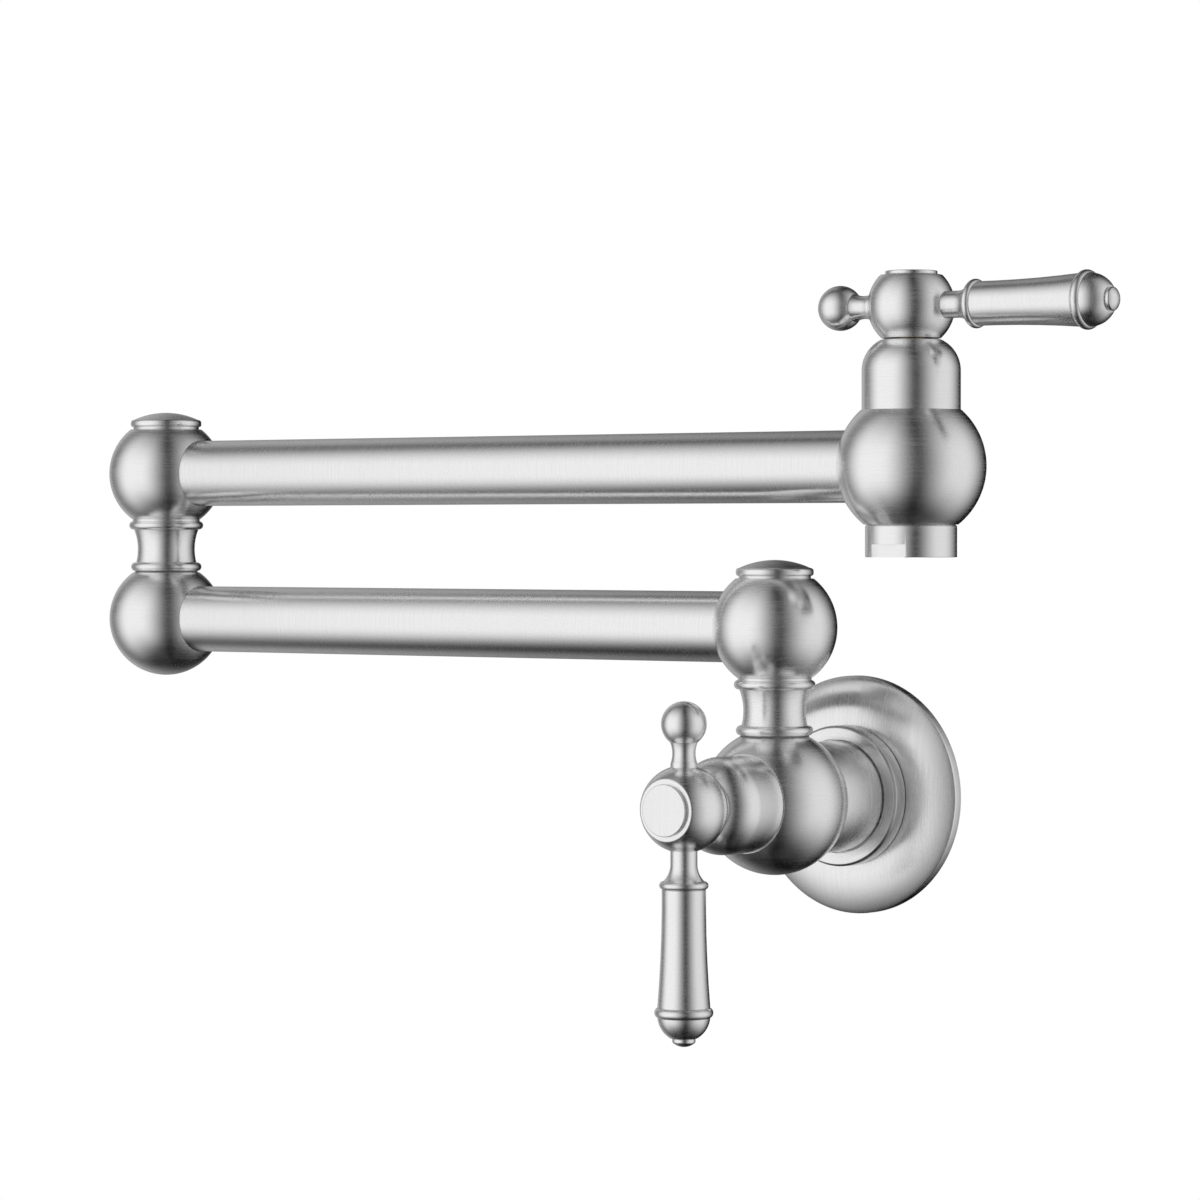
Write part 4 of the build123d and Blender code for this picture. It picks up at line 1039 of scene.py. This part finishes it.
class POTFILLER_OT_stage(bpy.types.Operator):
    """Sets the floor, the camera, the soft lamps and the flags that shade a studio."""

    bl_idname = "potfiller.stage"
    bl_label = "Stage"

    def execute(self, context):
        studio = settings().studio
        self.add_camera(context, studio)
        self.add_floor(studio)
        self.add_world(context)
        self.add_flags(studio)
        self.add_lamps()
        context.scene.view_settings.view_transform = "Standard"
        return {"FINISHED"}

    def add_camera(self, context, studio):
        """The camera at the photograph's place."""
        camera = bpy.data.cameras.new("camera")
        camera.lens = studio.lens
        camera.sensor_width = 36.0
        camera.clip_end = 200.0
        holder = add_object("camera", camera)
        holder.location = CAMERA_PLACE
        holder.rotation_euler = (math.pi / 2 - studio.dip, 0, studio.yaw)
        context.scene.camera = holder

    def add_floor(self, studio):
        """A pale floor that reads as white from the camera and keeps a soft shadow."""
        half = studio.floor_size
        mesh = bpy.data.meshes.new("floor")
        corners = [(x * half, y * half, -studio.floor_drop) for x, y in ((-1, -1), (1, -1), (1, 1), (-1, 1))]
        mesh.from_pydata(corners, [], [(0, 1, 2, 3)])
        material = bpy.data.materials.new("floor")
        shader = Shader(material)
        matt = shader.node("BsdfDiffuse", Color=colour(WHITE, 0.93))
        white = shader.node("Emission", Color=colour(WHITE), Strength=1.0)
        x, y, _ = shader.separate(shader.place())
        near_whiteness, near, far = 0.8, 1.5, 5.0
        fade = ((x * x + y * y) ** 0.5).within(near, far)
        whiteness = self.seen(shader) * (near_whiteness + fade * (1 - near_whiteness))
        shader.node("OutputMaterial", shader.node("MixShader", whiteness, matt, white))
        mesh.materials.append(material)
        add_object("floor", mesh)

    @staticmethod
    def seen(shader):
        """1 for what the camera sees, itself or in metal and glass."""
        path = shader.node("LightPath")
        mirrored = path.output("Is Glossy Ray").math("MAXIMUM", path.output("Is Transmission Ray"))
        return path.output("Is Camera Ray").math("MAXIMUM", mirrored)

    def add_world(self, context):
        """White behind the object, and a little dimmer as light on matt surfaces."""
        world = bpy.data.worlds.new("studio")
        context.scene.world = world
        shader = Shader(world)
        dim = shader.node("Background", Color=colour(WHITE), Strength=0.75)
        white = shader.node("Background", Color=colour(WHITE), Strength=1.0)
        light = shader.node("MixShader", self.seen(shader), dim, white)
        shader.node("OutputWorld", light)

    def add_flags(self, studio):
        """Black cloth round the set, which only the metal sees, open where a soft box would be."""
        radius, low = studio.flag_radius, -studio.floor_drop + 10 * MM
        foot = math.sqrt(radius * radius - low * low)
        shell = Outline(0, low).to((foot, low)).arc((radius, 0), (0, radius))
        mesh = turned_mesh("flags", shell, CUTTER_SIDES)
        flags = add_object("flags", mesh)
        for light_path in ("camera", "diffuse", "transmission", "volume_scatter", "shadow"):
            setattr(flags, f"visible_{light_path}", False)
        material = bpy.data.materials.new("flags")
        shader = Shader(material)
        cloth = shader.node("Emission", Color=colour(WHITE, 0), Strength=0.0)
        clear = shader.node("BsdfTransparent")
        surface = shader.node("MixShader", self.opening(shader, studio), cloth, clear)
        shader.node("OutputMaterial", surface)
        mesh.materials.append(material)

    def opening(self, shader, studio):
        """How open the flags are in each direction from the object: three soft boxes round it."""
        object_middle = tuple((Vector(cad_box[0]) + Vector(cad_box[1])) / 2)
        offset = shader.node("VectorMath", shader.place(), object_middle, operation="SUBTRACT")
        x, y, z = shader.separate(shader.node("VectorMath", offset, operation="NORMALIZE"))
        bearing = shader.node("Math", x, y * -1.0, operation="ARCTAN2")

        def box(centre, *widths):
            """A soft box's share of the light round the object, by its half width and its two edges."""
            half, before, after = map(math.radians, widths)
            turn = bearing - (TOWARDS_CAMERA + centre)
            turn = (turn / math.tau + 0.5).math("FRACT") * math.tau - math.pi
            ends = turn.within(half - after, half + after)
            return turn.within(-half - before, -half + before) * (1.0 - ends)

        left = box(studio.left_middle, 47, 30, 33) * studio.left_box
        right = box(studio.right_middle, 43, 36, 34) * studio.right_box
        back = box(BACK_MIDDLE, 21, 21, 21) * studio.back_box
        height = z.math("ARCSINE")
        lower = height.within(*map(math.radians, LOWER_EDGE))
        upper = height.within(*map(math.radians, UPPER_EDGE))
        band = studio.floor_glow + lower * (1 - studio.floor_glow) - upper * (1 - studio.ceiling_glow)
        return (left + right + back) * band

    def add_lamps(self):
        """Two large soft lamps that shape the matt parts and cast the floor's soft shadow."""
        for name, place, size, power in (
            ("key_lamp", Vector((-1.6, -1.8, 1.4)), 1.4, 14.0),
            ("fill_lamp", Vector((2.2, -0.6, 1.0)), 1.6, 8.0),
        ):
            lamp = bpy.data.lights.new(name, "AREA")
            lamp.shape = "SQUARE"
            lamp.size = size
            lamp.energy = power
            holder = add_object(name, lamp)
            holder.location = place
            holder.rotation_euler = place.to_track_quat("Z", "Y").to_euler()
            holder.visible_camera = False
            holder.visible_glossy = False


class POTFILLER_PT_panel(bpy.types.Panel):
    """Lists the pot filler's pieces and sizes."""

    bl_idname = "POTFILLER_PT_panel"
    bl_label = "Pot Filler"
    bl_space_type = "VIEW_3D"
    bl_region_type = "UI"
    bl_category = "Pot Filler"

    def draw(self, context):
        layout = self.layout
        groups = context.scene.pot_filler
        for operator in OPERATORS:
            layout.operator(operator.bl_idname)
        for group in (groups.balls, groups.wall, groups.handles, groups.colours, groups.studio):
            box = layout.box()
            for name in group.__annotations__:
                box.prop(group, name)


OPERATORS = (
    POTFILLER_OT_stage,
    POTFILLER_OT_wall_flange,
    POTFILLER_OT_wall_body,
    POTFILLER_OT_inlet,
    POTFILLER_OT_arm_hubs,
    POTFILLER_OT_arm_tubes,
    POTFILLER_OT_end_balls,
    POTFILLER_OT_bonnets,
    POTFILLER_OT_handle_hubs,
    POTFILLER_OT_levers,
    POTFILLER_OT_finials,
    POTFILLER_OT_nozzle,
    POTFILLER_OT_washers,
    POTFILLER_OT_inner_parts,
)
GROUPS = (BallSizes, WallSizes, HandleSizes, FinishColours, StudioSizes, PotFillerSettings)
CLASSES = (*GROUPS, *OPERATORS, POTFILLER_PT_panel)


def register():
    for item in CLASSES:
        bpy.utils.register_class(item)
    bpy.types.Scene.pot_filler = PointerProperty(type=PotFillerSettings)


def unregister():
    del bpy.types.Scene.pot_filler
    for item in reversed(CLASSES):
        bpy.utils.unregister_class(item)


def main():
    """Builds the whole pot filler."""
    register()
    for operator in OPERATORS:
        group, name = operator.bl_idname.split(".")
        getattr(getattr(bpy.ops, group), name)()


if __name__ == "__main__":
    main()
